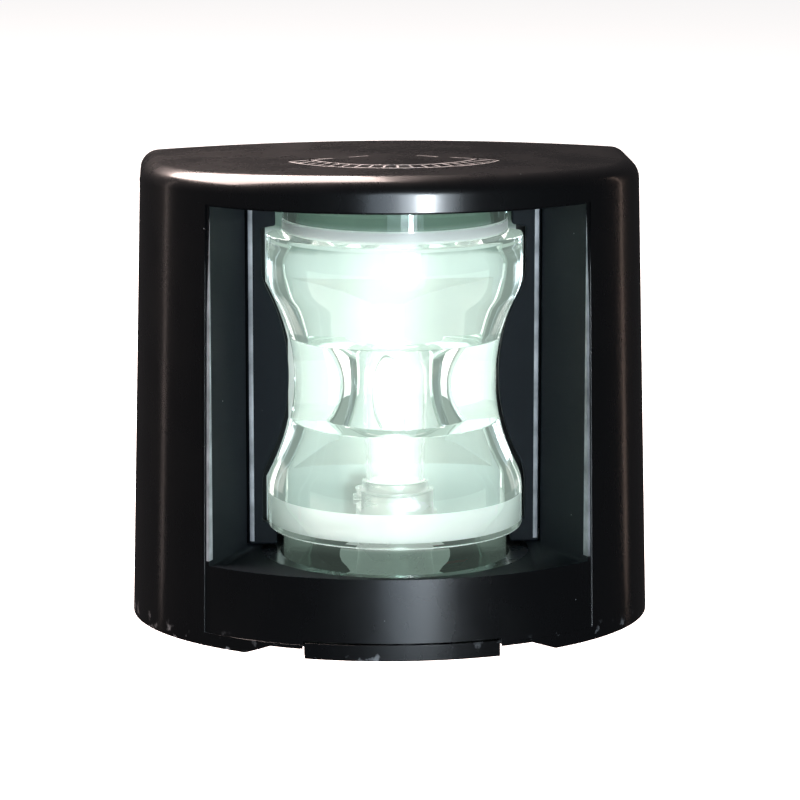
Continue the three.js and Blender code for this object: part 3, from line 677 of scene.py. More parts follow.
def crown(x):
    """How far the top rises over its corners."""
    return TOP_CROWN * (1 - (x / HALF_WIDTH) ** 2)


def outline(z, inset, rear_y, crowned, count=60):
    """One closed ring: the half-ellipse from left to right, then the rear edge back at the same x."""
    a = half_width(z) - inset
    depth = a - HALF_WIDTH + FRONT_DEPTH
    front = []
    for i in range(count + 1):
        angle = pi * (1 - i / count)
        x = a * cos(angle)
        front.append((x, WIDEST_Y - depth * sin(angle), z + crowned * crown(x)))
    return front + [(x, rear_y, height) for x, _, height in reversed(front)]


def hood_block(inset, bottom, rear_y, top, fillet, count=60):
    """The hood's form as one solid, set in all round, with a round of that radius on its top edge."""
    rings = [outline(bottom, inset, rear_y, 0, count)]
    for degrees in steps(0, 90, 8):
        t = radians(degrees)
        z = top - fillet * (1 - sin(t))
        rings.append(outline(z, inset + fillet * (1 - cos(t)), rear_y, 1, count))
    return loft(rings)


def recess_plan(extra):
    """The window's plan, widened by extra: straight beside the screens, splayed before them."""
    def half(depth):
        return RECESS_HALF + extra + SPLAY * max(0.0, depth - SCREEN_FRONT)
    right = [(half(d), WIDEST_Y - d) for d in (RECESS_BACK, SCREEN_FRONT, FRONT_DEPTH + 6)]
    return right + [(-x, y) for x, y in reversed(right)]


LIP_DEPTHS = (-9.9, HOOD_REAR_Y)
CLAMP_R = 31.5 / sqrt(2)
CLAMP_POINTS = [(x, AXIS_Y + y) for x in (CLAMP_R, -CLAMP_R) for y in (CLAMP_R, -CLAMP_R)]
REFLECTOR_X, REFLECTOR_Z = 37.0, 58.5
PANEL_STEP = 0.3
PANEL_MARGIN = 1.3
DISH_R, DISH_DEPTH = 30.5, 0.4
SCALE_CENTRE_Y = WIDEST_Y - 9
SECTOR_HALF = 67.5


def hood_weights(middle, direction, convex):
    """Wide rounds on the window's upright edges, small ones elsewhere, and none in inner corners."""
    if not convex:
        return 0.0
    in_front = middle.y < WIDEST_Y - 25
    if in_front and abs(direction.z) > 0.9 and 38 < abs(middle.x) < 44 and 19 < middle.z < 98:
        wall = RECESS_HALF + SPLAY * (WIDEST_Y - middle.y - SCREEN_FRONT)
        return 1.0 if abs(middle.x) < wall + 0.2 else 0.1
    if in_front and abs(middle.z - MOUTH_TOP) < 0.6:
        return 0.8
    if in_front and abs(middle.z - SILL_TOP) < 0.2 and middle.y < -62:
        return 0.5
    return 0.15


def reflector_rods(radius, low, high):
    """Two rods along Y where the reflector's screws go."""
    return [rod("y", radius, low, high, s * REFLECTOR_X, REFLECTOR_Z) for s in SIDES]


def clamp_rods(radius, low, high):
    """Four upright rods where the lens clamp ring's screws go."""
    return [rod("z", radius, low, high, x, y) for x, y in CLAMP_POINTS]


def make_hood():
    """The shell, its inner walls round the window, its bosses, and the seats for lens and fittings."""
    shell = cut(hood_block(0, 0, HOOD_REAR_Y, HOOD_HEIGHT, TOP_FILLET),
                hood_block(WALL, -5, 5, HOOD_HEIGHT - 3, 2))
    ribs = prism(recess_plan(RECESS_WALL), SILL_TOP - SILL, HOOD_HEIGHT)
    join(ribs, disc(33.8, SILL_TOP - SILL, SILL_TOP - 0.01))
    lips = [box(span_of(s, 49.5, 57.6), LIP_DEPTHS, (6, 99)) for s in SIDES]
    lips = join(*lips, box((-56, 56), LIP_DEPTHS, (98.4, 103)))
    bosses = reflector_rods(3, WIDEST_Y - 24, REFLECTOR_LOW.y - 0.3)
    join(ribs, disc(29.5, MOUTH_TOP - 1, HOOD_HEIGHT - 2), *bosses)
    common(ribs, hood_block(WALL / 2, -2, HOOD_REAR_Y, HOOD_HEIGHT - 1.5, 3))
    join(shell, ribs, lips, *clamp_rods(2.6, 13, SILL_TOP - 1))
    panel = cut(prism(recess_plan(PANEL_MARGIN), 3.0, MOUTH_TOP + 0.4),
                hood_block(PANEL_STEP, -2, 0, HOOD_HEIGHT, TOP_FILLET))
    wide_notch = upright([(-37.2, -1), (-29.2, 2.2), (29.2, 2.2), (37.2, -1)], -90, -55)
    tab_notch = box((-TAB_HALF - 0.4, TAB_HALF + 0.4), (-90, -55), (-1, TAB_TOP + 0.35))
    cut(shell, prism(recess_plan(0), SILL_TOP, MOUTH_TOP), panel, wide_notch, tab_notch,
        disc(SPIGOT_R + 0.8, SILL_TOP - 5, SILL_TOP + 1),
        disc(27.2, MOUTH_TOP - 1, 102.3),
        disc(1.5, 102, 105.6, 32),
        *clamp_rods(1.45, 12, 17.4),
        *reflector_rods(1.2, WIDEST_Y - 19, REFLECTOR_LOW.y + 1),
        disc(DISH_R, SILL_TOP - DISH_DEPTH, SILL_TOP + 1))
    dress(shell, "hood_shell", "hood_unit", "gloss_black", ["hood"], 1.4, 4, hood_weights)


def make_degree_scale():
    """A hot-foil scale of the light's sector on the top: two arcs, ticks between them and two rays."""
    strokes = []

    def stroke(points, width):
        """A flat ribbon along points given as (x, y), laid on the crowned top."""
        rims = []
        for i, point in enumerate(points):
            ahead = Vector(points[min(i + 1, len(points) - 1)]) - Vector(points[max(i - 1, 0)])
            across = Vector((-ahead.y, ahead.x)).normalized() * width / 2
            rims.append((Vector(point) - across, Vector(point) + across))
        corners = []
        for left, right in rims:
            for edge, lift in ((left, -0.04), (right, -0.04), (right, 0.02), (left, 0.02)):
                corners.append((edge.x, edge.y, HOOD_HEIGHT + crown(edge.x) + lift))
        last = 4 * (len(rims) - 1)
        ends = [(0, 1, 2, 3), (last, last + 1, last + 2, last + 3)]
        strokes.append(solid(corners, strips(len(rims), 4) + ends))

    def spot(radius, degrees):
        t = radians(degrees)
        return (radius * sin(t), SCALE_CENTRE_Y - radius * cos(t))
    for radius in (20.0, 25.5):
        stroke([spot(radius, d) for d in steps(-SECTOR_HALF, SECTOR_HALF, 40)], 0.6)
    for degrees in steps(-SECTOR_HALF, SECTOR_HALF, 18):
        stroke([spot(20.8, degrees), spot(24.7, degrees)], 0.5)
    for degrees in (-SECTOR_HALF, SECTOR_HALF):
        stroke([spot(6, degrees), spot(19.2, degrees)], 0.5)
    dress(join(*strokes), "degree_scale", "hood_unit", "aluminium", [], 0)


# ---- lens and its fittings
FLARE = acos(1 - (BAND_R - WAIST_R) / (WAIST_ARC + BAND_ARC))
FLARE_HALF = (WAIST_ARC + BAND_ARC) * sin(FLARE)
INFLECTION = WAIST_ARC * sin(FLARE)


def flare_radius(from_waist):
    """Outer radius of the lens between its bands, at a height from the waist."""
    u = abs(from_waist)
    if u >= FLARE_HALF:
        return BAND_R
    if u <= INFLECTION:
        return WAIST_R + WAIST_ARC - sqrt(WAIST_ARC ** 2 - u ** 2)
    return BAND_R - BAND_ARC + sqrt(BAND_ARC ** 2 - (FLARE_HALF - u) ** 2)


def bulge_radius(from_waist):
    """Inner radius of the thick belt at the waist, which bulges towards the lamp."""
    sag = BULGE_EDGE_R - BULGE_R
    arc = (BULGE_HALF ** 2 + sag ** 2) / (2 * sag)
    return BULGE_R + arc - sqrt(arc ** 2 - from_waist ** 2)


def rounded(corner, before, after, radius, count=4):
    """Points of a small arc in place of a profile's corner."""
    corner, before, after = (Vector(p) for p in (corner, before, after))
    start = corner + (before - corner).normalized() * radius
    end = corner + (after - corner).normalized() * radius
    return [tuple(start * (1 - t) ** 2 + corner * 2 * t * (1 - t) + end * t * t) for t in steps(0, 1, count)]


def band_edge(sign):
    """The outer profile from a spigot's end to the edge of its band, seen from the waist outwards."""
    end = LENS_MID + sign * (LENS_MID - BAND_LOW)
    tip = LENS_HIGH.z if sign > 0 else LENS_LOW.z
    step = end + sign * 0.6
    band, root = (BAND_R, end), (SPIGOT_R, step)
    return (rounded(band, (BAND_R, LENS_MID), root, 0.9) + rounded(root, band, (SPIGOT_R, tip), 0.4)
            + rounded((SPIGOT_R, tip), root, (SPIGOT_R - 3, tip), 0.5))


def make_lens():
    """A half drum, open behind, whose inner wall follows the outer one but for the thick belt."""
    outer = [(flare_radius(u), LENS_MID + u) for u in steps(-FLARE_HALF, FLARE_HALF, 48)]
    bore = SPIGOT_R - GLASS + 0.2
    wall = BAND_R - GLASS
    high = 2 * LENS_MID - BAND_LOW

    def widening(end, run, shares):
        """The smooth slope from a spigot's bore out to the wall, run millimetres high."""
        return [(bore + (wall - bore) * (3 * t * t - 2 * t ** 3), end + run * t) for t in shares]
    inner = rounded((bore, LENS_HIGH.z), (bore + 3, LENS_HIGH.z), (bore, high), 0.5)
    inner += widening(LENS_HIGH.z - 2.5, -INNER_SLOPE, steps(0, 1, 12))
    wall_at = flare_radius(BULGE_HALF) - GLASS
    shelf = LENS_MID + BULGE_HALF
    inner += [(flare_radius(u) - GLASS, LENS_MID + u) for u in steps(FLARE_HALF, BULGE_HALF + 1, 14)]
    inner += rounded((wall_at, shelf), (wall_at, shelf + 1), (BULGE_EDGE_R, shelf), 0.3)
    inner += rounded((BULGE_EDGE_R, shelf), (wall_at, shelf), (BULGE_EDGE_R - 0.5, shelf - 1), 0.25)
    inner += [(bulge_radius(u), LENS_MID + u) for u in steps(BULGE_HALF - 0.4, -BULGE_HALF + 0.4, 30)]
    shelf = LENS_MID - BULGE_HALF
    inner += rounded((BULGE_EDGE_R, shelf), (BULGE_EDGE_R - 0.5, shelf + 1), (wall_at, shelf), 0.25)
    inner += rounded((wall_at, shelf), (BULGE_EDGE_R, shelf), (wall_at, shelf - 1), 0.3)
    inner += [(flare_radius(u) - GLASS, LENS_MID + u) for u in steps(-BULGE_HALF - 1, -FLARE_HALF, 14)]
    inner += widening(LENS_LOW.z + 4.7, INNER_SLOPE, steps(1, 0, 12))
    inner += rounded((bore, LENS_LOW.z), (bore, BAND_LOW), (bore + 3, LENS_LOW.z), 0.5)
    profile = list(reversed(band_edge(-1))) + outer + band_edge(1) + inner
    drum = cut(turned(profile, count=160), box((-40, 40), (AXIS_Y, AXIS_Y + 40), DRUM_OPEN))
    dress(drum, "lens_drum", "hood_unit", "lens_glass", ["lens"], bevel=0, crease=50)


def sector_screen(name, side):
    """A panel from the recess's wall to the lens, whose inner edge follows the lens's outline."""
    low, high, gap = SILL_TOP + 0.3, MOUTH_TOP - 0.3, 1.1
    neck = SPIGOT_R + gap + 0.3
    band_high = 2 * LENS_MID - BAND_LOW
    edge = [(neck, low), (neck, BAND_LOW - 0.9), (BAND_R + gap, BAND_LOW - 0.3)]
    edge += [(flare_radius(u) + gap, LENS_MID + u) for u in steps(-FLARE_HALF, FLARE_HALF, 40)]
    edge += [(BAND_R + gap, band_high + 0.3), (neck, band_high + 0.9), (neck, high)]
    edge += [(RECESS_HALF - 0.3, high), (RECESS_HALF - 0.3, low)]
    panel = upright([(side * x, z) for x, z in edge], WIDEST_Y - SCREEN_FRONT, WIDEST_Y - RECESS_BACK - 0.3)

    def weights(middle, direction, convex):
        outer_front = abs(middle.x) > RECESS_HALF - 1 and middle.y < WIDEST_Y - SCREEN_FRONT + 0.2
        return 1.0 if outer_front and abs(direction.z) > 0.9 else 0.35
    dress(panel, f"screen_{name}", "hood_unit", "gloss_black", [f"sector_screen_{name}"], 1.2, 4, weights)


def ring(inner, outer, low, high, count=96):
    return turned([(inner, low), (outer, low), (outer, high), (inner, high)], count=count)


def torus(radius, z, section):
    return turned([(radius + section * c, z + section * s) for c, s in circle(1, 0, 0, 24)])


def make_seals():
    low, high = span("lens_seal_upper")
    flat_ring = ring(21.6, high.x, low.z, high.z)
    dress(flat_ring, "seal_upper", "hood_unit", "seal_rubber", ["lens_seal_upper"], 0.4)
    low, high = span("lens_seal_lower")
    round_ring = torus(high.x - 1.25, (low.z + high.z) / 2, 1.22)
    dress(round_ring, "seal_lower", "hood_unit", "seal_rubber", ["lens_seal_lower"], 0)


def make_clamp_ring():
    low, high = (c.z for c in span("lens_clamp_ring"))
    clamp = join(ring(23, 29.6, low, high), *clamp_rods(2.8, low, high))
    cut(clamp, disc(23, low - 1, high + 1), *clamp_rods(1.5, low - 1, high + 1))
    dress(clamp, "clamp_ring", "hood_unit", "satin_black", ["lens_clamp_ring"], 0.25)


def funnel(front, back):
    """A four-sided block from a rectangle (half width, y, low z, high z) to a smaller one behind it."""
    points = [(x, y, z) for half, y, low, high in (front, back)
              for x, z in ((-half, low), (half, low), (half, high), (-half, high))]
    return solid(points, [(0, 1, 2, 3), (4, 5, 6, 7)] + strips(2, 4))


def make_reflector():
    """A flat plate behind the half drum, with a moulded funnel behind the lamp."""
    front, wall = REFLECTOR_LOW.y, 1.2
    back = WIDEST_Y + 9

    def block(extra):
        mouth = (24.5 + extra, front, 36 - extra, 79.4 + extra)
        end = (3.8 + extra, back + extra, 44.5 - extra, 70.5 + extra)
        return funnel(mouth, end)
    flange = box((-40.2, 40.2), (front, front + wall), (20.2, 98))
    reflector = cut(join(block(wall), flange), block(0), *reflector_rods(1.4, front - 1, front + wall + 1))
    dress(reflector, "reflector_funnel", "hood_unit", "reflector_white", ["rear_reflector"], 0.35)


def make_heat_shield():
    low, high = (c.z for c in span("heat_shield"))
    dress(ring(1.7, 20.8, low, high), "heat_disc", "hood_unit", "aluminium", ["heat_shield"], 0.15, 2)


# ---- screws
FORWARD = Matrix.Rotation(pi / 2, 4, "X")
BACKWARD = Matrix.Rotation(-pi / 2, 4, "X")
DOWN = Matrix.Rotation(pi, 4, "X")
SOCKET_SCREW_X = 13.5


def screw(node, body, slot, head, length, place):
    """A slotted pan-head screw with a threaded shaft along +Z, then moved by the place matrix.

    The head is given as its radius, its height and the shaft's radius.
    """
    head_r, head_h, shaft_r = head
    profile = [(0, -head_h)]
    profile += [(head_r * sin(t), -head_h * (0.45 + 0.55 * cos(t))) for t in steps(0.35, pi / 2, 6)]
    profile += [(head_r, -0.12 * head_h), (head_r * 0.95, 0)]
    turns = int(length / 0.7)
    for i in range(turns):
        z = 0.15 + i * (length - shaft_r) / turns
        profile += [(shaft_r * 0.84, z), (shaft_r, z + 0.3), (shaft_r * 0.84, z + 0.55)]
    profile += [(shaft_r * 0.4, length), (0, length)]
    groove = box((-2 * head_r, 2 * head_r), (-0.16 * head_r, 0.16 * head_r), (-2 * head_h, -head_h * 0.5))
    made = cut(turned(profile, 0, 0, 32), groove)
    made.data.transform(place)
    dress(made, f"{node}_piece", body, slot, [node], 0)


def make_screws():
    at = Matrix.Translation
    screw("heat_shield_screw", "hood_unit", "steel", (3, 1.3, 1.3), 4, at((0, AXIS_Y, 101)))
    for i, (x, y) in enumerate(CLAMP_POINTS):
        turn = Matrix.Rotation(0.7 + 1.9 * i, 4, "Z")
        screw(f"clamp_screw_{i + 1}", "hood_unit", "steel", (2.5, 1.6, 1.25), 6.8, at((x, y, 10.1)) @ turn)
    for name, side in NAMED_SIDES:
        screw(f"reflector_screw_{name}", "hood_unit", "steel", (2.3, 1.4, 1.0), 7,
              at((side * REFLECTOR_X, REFLECTOR_LOW.y + 1.3, REFLECTOR_Z)) @ FORWARD)
        screw(f"socket_screw_{name}", "base", "steel", (2.2, 1.2, 1.15), 6.6,
              at((side * SOCKET_SCREW_X, AXIS_Y, 11.4)) @ DOWN)
        low, high = span(f"terminal_screw_{name}")
        screw(f"terminal_screw_{name}", "base", "brass", (1.7, 1.2, 1.3), 3.6,
              at(((low.x + high.x) / 2, high.y - 3.6, (low.z + high.z) / 2)) @ BACKWARD)


# ---- base and its seals
PLATE_FRONT, PLATE_BACK = -5.5, -1.8
FLOOR_LOW, FLOOR_TOP = 1.2, 4.2
FIXING_X, FIXING_R = 36.0, 2.5
FIXING_Z = (38.0, 92.0)
RAIL_X, RAIL_FRONT, RAIL_HEIGHTS = 47.2, -12.5, (8, 96)
GLAND_X, GLAND_Z = 26.0, 14.2
LATCH_DEPTH, LATCH_Z, PIN_R = 44.6, 7.4, 1.0


def plate_outline(inset, bottom):
    """The hood's own rear outline set in by inset, with the same crowned top."""
    side = half_width(HOOD_HEIGHT) - inset
    corner = 6 - inset
    right = [(side - corner + corner * cos(t), corner * (sin(t) - 1))
             for t in steps(0, pi / 2, 8)]
    right += [(x, 0) for x in steps(side - corner, 0, 12)[1:]]
    half = [(x, HOOD_HEIGHT - inset + crown(x) + drop) for x, drop in right]
    top = half + [(-x, z) for x, z in reversed(half[:-1])]
    return [(-half_width(0) + inset, bottom), (half_width(0) - inset, bottom)] + top


def fixing_holes():
    return [rod("y", FIXING_R, -8, 2, s * FIXING_X, z) for s in SIDES for z in FIXING_Z]


def make_base():
    """The plate, floor, lamp pedestal and rails in one moulding, and the two seals on the plate."""
    base = upright(plate_outline(1.2, 0.6), PLATE_FRONT, PLATE_BACK)
    floor_plan = [(x, y) for x, y, _ in outline(2, WALL + 0.6, PLATE_FRONT + 0.5, 0)]
    join(base, prism(floor_plan, FLOOR_LOW, FLOOR_TOP), ring(11.5, 15.5, FLOOR_TOP - 0.5, 9.8),
         *[rod("y", 4.6, -6.6, -5, s * FIXING_X, z) for s in SIDES for z in FIXING_Z])
    cut(base, box((-TAB_HALF - 0.9, TAB_HALF + 0.9), (-90, WIDEST_Y - 44), (-1, FLOOR_TOP + 0.01)))
    for s in SIDES:
        rail_web = box(span_of(s, RAIL_X, 48.8), (RAIL_FRONT, PLATE_FRONT + 0.5), RAIL_HEIGHTS)
        rail_flange = box(span_of(s, RAIL_X, 52.5), (RAIL_FRONT, -10.7), RAIL_HEIGHTS)
        latch_cheek = box(span_of(s, 9.2, 11.7), (WIDEST_Y - 46.4, WIDEST_Y - 42), (FLOOR_LOW, 9.4))
        floor_rib = box((s * 48 - 0.6, s * 48 + 0.6), (-44, -12), (FLOOR_TOP - 0.5, 6.4))
        join(base, rail_web, rail_flange, latch_cheek, floor_rib)
    cut(base, *fixing_holes(),
        gland_bore(6.3, -10, 2),
        rod("x", PIN_R + 0.15, -13, 13, WIDEST_Y - LATCH_DEPTH, LATCH_Z),
        box((-5.5, 5.5), (AXIS_Y + 8, AXIS_Y + 18), (FLOOR_TOP, 8.4)),
        *[rod("z", 1.35, 4.5, 12, s * SOCKET_SCREW_X, AXIS_Y) for s in SIDES],
        *[rod("z", 2.2, 0, 5, s * 30, WIDEST_Y - 6) for s in SIDES])
    dress(base, "base_moulding", "base", "satin_black", ["mounting_base"], 0.25, 2)

    low, high = (c.y for c in span("rear_seal"))
    seal = cut(upright(plate_outline(2.2, FLOOR_TOP + 0.3), low, high),
               upright(plate_outline(4.4, -5), low - 1, high + 1))
    dress(seal, "casing_seal", "base", "seal_rubber", ["rear_seal"], 0.35)
    low, high = (c.y for c in span("wall_gasket"))
    gasket = cut(upright(plate_outline(2.4, 1.6), low, high), *fixing_holes(),
                 gland_bore(7, -3, 2))
    dress(gasket, "foam_gasket", "base", "gasket_foam", ["wall_gasket"], 0.3)


# ---- release latch
def make_latch():
    """A tab in the hood's bottom edge on an arm that swings about a pin, and the pin's coil spring."""
    pin_y = WIDEST_Y - LATCH_DEPTH
    band = cut(prism([(x, y) for x, y, _ in outline(0, 0, WIDEST_Y, 0)], 0, TAB_TOP),
               prism([(x, y) for x, y, _ in outline(0, 4.4, WIDEST_Y + 1, 0)], -1, TAB_TOP + 1))
    common(band, box((-TAB_HALF, TAB_HALF), (-90, -60), (-1, 9)))
    half = 5.5
    side = [(44.6, 5.5), (48.3, 4.5), (48.3, 0.2), (50.3, 0.2), (50.3, 5.9), (46, 9.1), (44.6, 9.3)]
    arm = sideways([(WIDEST_Y - depth, z) for depth, z in side], -half, half)
    barrel = rod("x", 2, -half, half, pin_y, LATCH_Z)
    join(band, arm, barrel, box((-4, 4), (WIDEST_Y - 50.7, WIDEST_Y - 49.9), (4.7, 5.5)))
    cut(band, rod("x", PIN_R + 0.25, -8, 8, pin_y, LATCH_Z))
    dress(band, "latch_tab", "latch", "gloss_black", ["release_latch"], 0.3)

    low, high = (c.x for c in span("latch_pin"))
    profile = [(0, low), (0.75, low), (PIN_R, low + 0.3), (PIN_R, high - 0.3), (0.75, high), (0, high)]
    pin = turned(profile, 0, 0, 32)
    pin.data.transform(Matrix.Translation((0, pin_y, LATCH_Z)) @ Matrix.Rotation(pi / 2, 4, "Y"))
    dress(pin, "latch_axle", "base", "steel", ["latch_pin"], 0)

    coil = helix("x", 1.75, -8.8, -6.3, 3, (pin_y, LATCH_Z), pi / 2)
    rear_leg = [(-8.8, pin_y + 4, 8.2), (-8.8, pin_y + 2, LATCH_Z + 1.6)]
    front_leg = [(-6.2, pin_y - 2, LATCH_Z + 1.2), (-6.1, pin_y - 4.4, 6.4)]
    spring = wire(rear_leg + coil + front_leg, 0.28, 3, 12)
    dress(spring, "latch_torsion_spring", "base", "steel", ["latch_spring"], 0)


def helix(axis, radius, low, high, turns, centre, start=0.0):
    """Points of a helix about "x" or "z", whose turns begin at the given angle."""
    points = []
    per_turn = 16
    count = turns * per_turn
    for i in range(count + 1):
        angle = start + 2 * pi * i / per_turn
        along = low + (high - low) * i / count
        u, v = centre[0] + radius * cos(angle), centre[1] + radius * sin(angle)
        points.append((along, u, v) if axis == "x" else (u, v, along))
    return points


def smooth_path(points, between):
    """Points of a centripetal Catmull-Rom curve through the given ones."""
    def at(t, p, q, start, end):
        return p.lerp(q, (t - start) / (end - start))
    knots = [Vector(p) for p in points]
    knots = [2 * knots[0] - knots[1]] + knots + [2 * knots[-1] - knots[-2]]
    path = []
    for a, b, c, d in zip(knots, knots[1:], knots[2:], knots[3:]):
        times = [0.0]
        for p, q in ((a, b), (b, c), (c, d)):
            times.append(times[-1] + sqrt((q - p).length))
        t0, t1, t2, t3 = times
        for i in range(between):
            t = t1 + (t2 - t1) * i / between
            ab, bc, cd = at(t, a, b, t0, t1), at(t, b, c, t1, t2), at(t, c, d, t2, t3)
            path.append(at(t, at(t, ab, bc, t0, t2), at(t, bc, cd, t1, t3), t1, t2))
    return path + [knots[-2]]


def wire(points, radius, between=6, sides=16):
    """A round wire with rounded ends along a smooth curve through the points."""
    path = smooth_path(points, between)
    ahead, behind = path[1:] + path[-1:], path[:1] + path[:-1]
    tangents = [(b - a).normalized() for a, b in zip(behind, ahead)]
    normal = tangents[0].orthogonal().normalized()
    rings = []

    def place(centre, tangent, share):
        side = tangent.cross(normal)
        rings.append([centre + radius * share * (normal * c + side * s) for c, s in circle(1, 0, 0, sides)])
    for t in (0.2, 0.6, 1.1):
        place(path[0] + tangents[0] * radius * (1 - cos(t)) * 0.6, tangents[0], sin(t))
    for centre, tangent in list(zip(path, tangents))[1:-1]:
        normal = (normal - tangent * normal.dot(tangent)).normalized()
        place(centre, tangent, 1.0)
    for t in (1.1, 0.6, 0.2):
        place(path[-1] - tangents[-1] * radius * (1 - cos(t)) * 0.6, tangents[-1], sin(t))
    count = len(rings)
    ends = [tuple(range(sides)), tuple(range((count - 1) * sides, count * sides))]
    return solid([p for r in rings for p in r], strips(count, sides) + ends)


# ---- lamp socket
PLUNGER_X, PLUNGER_TRAVEL, COIL_LENGTH = 3.6, 1.5, 4.45
SOCKET_R, SOCKET_BORE, SOCKET_TOP = 8.9, 8.1, 31.5
PIN_HEIGHTS = (25.9, 28.9)
TWIST = radians(20)
CAP_R, CAP_TOP = 7.6, 34


def make_socket():
    """A flanged sleeve with two L-shaped pin slots, round an insulator that holds two contacts."""
    profile = [(SOCKET_BORE, 9.9), (15.2, 9.9), (15.2, 11.2), (SOCKET_R + 0.8, 11.2), (SOCKET_R + 0.2, 11.5),
               (SOCKET_R, 12.2), (SOCKET_R, SOCKET_TOP - 0.5)]
    profile += [(SOCKET_R + 0.25 * sin(t), SOCKET_TOP - 0.5 + 0.5 * t / pi)
                for t in steps(0.6, pi - 0.3, 6)]
    shell = turned(profile + [(SOCKET_BORE, SOCKET_TOP)])
    wedge = [(0, 0)] + [(12 * cos(t), 12 * sin(t)) for t in steps(0, TWIST, 8)]
    for height, facing in zip(PIN_HEIGHTS, (0.0, pi)):
        low, high = height - 1.2, height + 1.2
        tools = [prism(wedge, low, high), box((6, 11), (-1.2, 1.2), (low, high)),
                 box((6, 11), (-1.2, 1.2), (low, SOCKET_TOP + 1))]
        tools[2].data.transform(Matrix.Rotation(TWIST, 4, "Z"))
        for tool in tools:
            tool.data.transform(Matrix.Translation((0, AXIS_Y, 0)) @ Matrix.Rotation(facing, 4, "Z"))
        cut(shell, *tools)
    cut(shell, *[rod("z", 1.5, 9, 12, s * SOCKET_SCREW_X, AXIS_Y) for s in SIDES])
    dress(shell, "socket_sleeve", "base", "nickel", ["socket_shell"], 0.12, 2)

    insulator = disc(7.8, 8.2, 16.6, 64)
    for x in (-PLUNGER_X, PLUNGER_X):
        bores = ((2.15, 9.4, 15.6), (1.5, 15, 17), (1.05, 8, 10))
        cut(insulator, *[rod("z", radius, low, high, x, AXIS_Y) for radius, low, high in bores])
    cut(insulator, box((-0.5, 0.5), (AXIS_Y - 9, AXIS_Y + 9), (15.9, 17)))
    dress(insulator, "socket_insulator_block", "base", "phenolic", ["socket_insulator"], 0.2)
    for name, side in NAMED_SIDES:
        make_contact(name, side * PLUNGER_X)


def make_contact(name, x):
    """One sprung plunger, its coil, and the bulb's contact that rests on it."""
    profile = [(0, 7.4), (0.6, 7.4), (0.8, 7.6), (0.8, 14.2), (1.7, 14.2), (1.85, 14.35), (1.85, 15.25)]
    profile += [(1.7, 15.4), (1.3, 15.4), (1.3, 16.3)]
    profile += [(1.3 * cos(t), 16.3 + 0.65 * sin(t)) for t in steps(0.2, 1.4, 6)]
    plunger = turned(profile + [(0, 16.95)], x, AXIS_Y, 32)
    dress(plunger, f"plunger_{name}", "contacts", "brass", [f"contact_plunger_{name}"], 0)
    spring = wire(helix("z", 1.45, 9.85, 13.8, 4, (x, AXIS_Y)), 0.25, 3, 12)
    dress(spring, f"plunger_coil_{name}", "base", "steel", [f"plunger_spring_{name}"], 0)
    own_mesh(spring)
    low, high = (c.z for c in span(f"bulb_contact_{name}"))
    dome = [(0, low)]
    dome += [(1.7 * sin(t), low + 0.5 * (1 - cos(t))) for t in steps(0.3, pi / 2, 6)]
    contact = turned(dome + [(1.7, high), (0, high)], x, AXIS_Y, 32)
    dress(contact, f"contact_{name}", "bulb", "solder", [f"bulb_contact_{name}"], 0)


# ---- bulb
def make_bulb_cap():
    profile = [(0, 18), (CAP_R - 0.8, 18), (CAP_R - 0.2, 18.3), (CAP_R, 19), (CAP_R, 30.4)]
    profile += [(CAP_R - 0.25, 30.8), (CAP_R - 0.25, 31.4), (CAP_R, 31.8), (CAP_R, 33.6)]
    profile += [(CAP_R - 0.2, CAP_TOP), (6.9, CAP_TOP), (6.9, 19.5), (0, 19.5)]
    pins = [rod("x", 1, *span_of(s, 7.1, 9.6), AXIS_Y, z) for s, z in zip((1, -1), PIN_HEIGHTS)]
    cap = join(turned(profile), *pins)
    dress(cap, "bayonet_cap", "bulb", "nickel", ["bulb_cap"], 0.15, 2)


def make_bulb_glass():
    """A tubular envelope that widens from its neck and ends in a half sphere."""
    widest, wall, neck, dome = 7.2, 0.8, 6.6, 60.0

    def side(inset):
        points = [(neck - inset, z) for z in (20, CAP_TOP)]
        points += [(neck - inset + (widest - neck) * t * t * (3 - 2 * t), CAP_TOP + (dome - 38) * t)
                   for t in steps(0, 1, 24)[1:]]
        points += [((widest - inset) * cos(t), dome + (widest - inset) * sin(t))
                   for t in steps(0, pi / 2, 20)[:-1]]
        return points + [(0, dome + widest - inset)]
    glass = turned(side(0) + list(reversed(side(wall))), count=64)
    dress(glass, "bulb_envelope", "bulb", "bulb_glass", ["bulb_glass"], 0, crease=60)


def make_filament():
    """The pinched glass stem, the two wires that stand in it, and the coil between them."""
    stem = [(0, 20), (4.6, 20), (4.2, 22)] + [(2.4 + 1.4 * (1 - t) ** 2, 24 + 8 * t) for t in steps(0, 1, 8)]
    stem = turned(stem + [(2.1, 39.5), (0, 39.5)], count=48)
    join(stem, box((-3, 3), (AXIS_Y - 1, AXIS_Y + 1), (39, 46)))
    dress(stem, "glass_stem", "bulb", "bulb_glass", ["bulb_stem"], 0.4)
    short = [(1.9, 46.2), (1.9, 50), (0.4, 53.6)]
    long = [(-1.9, 46.2), (-4.4, 51), (-4.4, 60), (-2.6, 62.7), (0, 62.3)]
    for name, points in (("short", short), ("long", long)):
        lead = wire([(x, AXIS_Y, z) for x, z in points], 0.3, 6, 12)
        dress(lead, f"lead_in_{name}", "bulb", "steel", [f"filament_support_{name}"], 0)
    coil = helix("z", 0.5, FILAMENT_LOW.z + 0.2, FILAMENT_HIGH.z - 0.2, 10, (0, AXIS_Y))
    dress(wire(coil, 0.18, 2, 8), "filament_coil", "bulb", "filament_lit", ["filament"], 0)


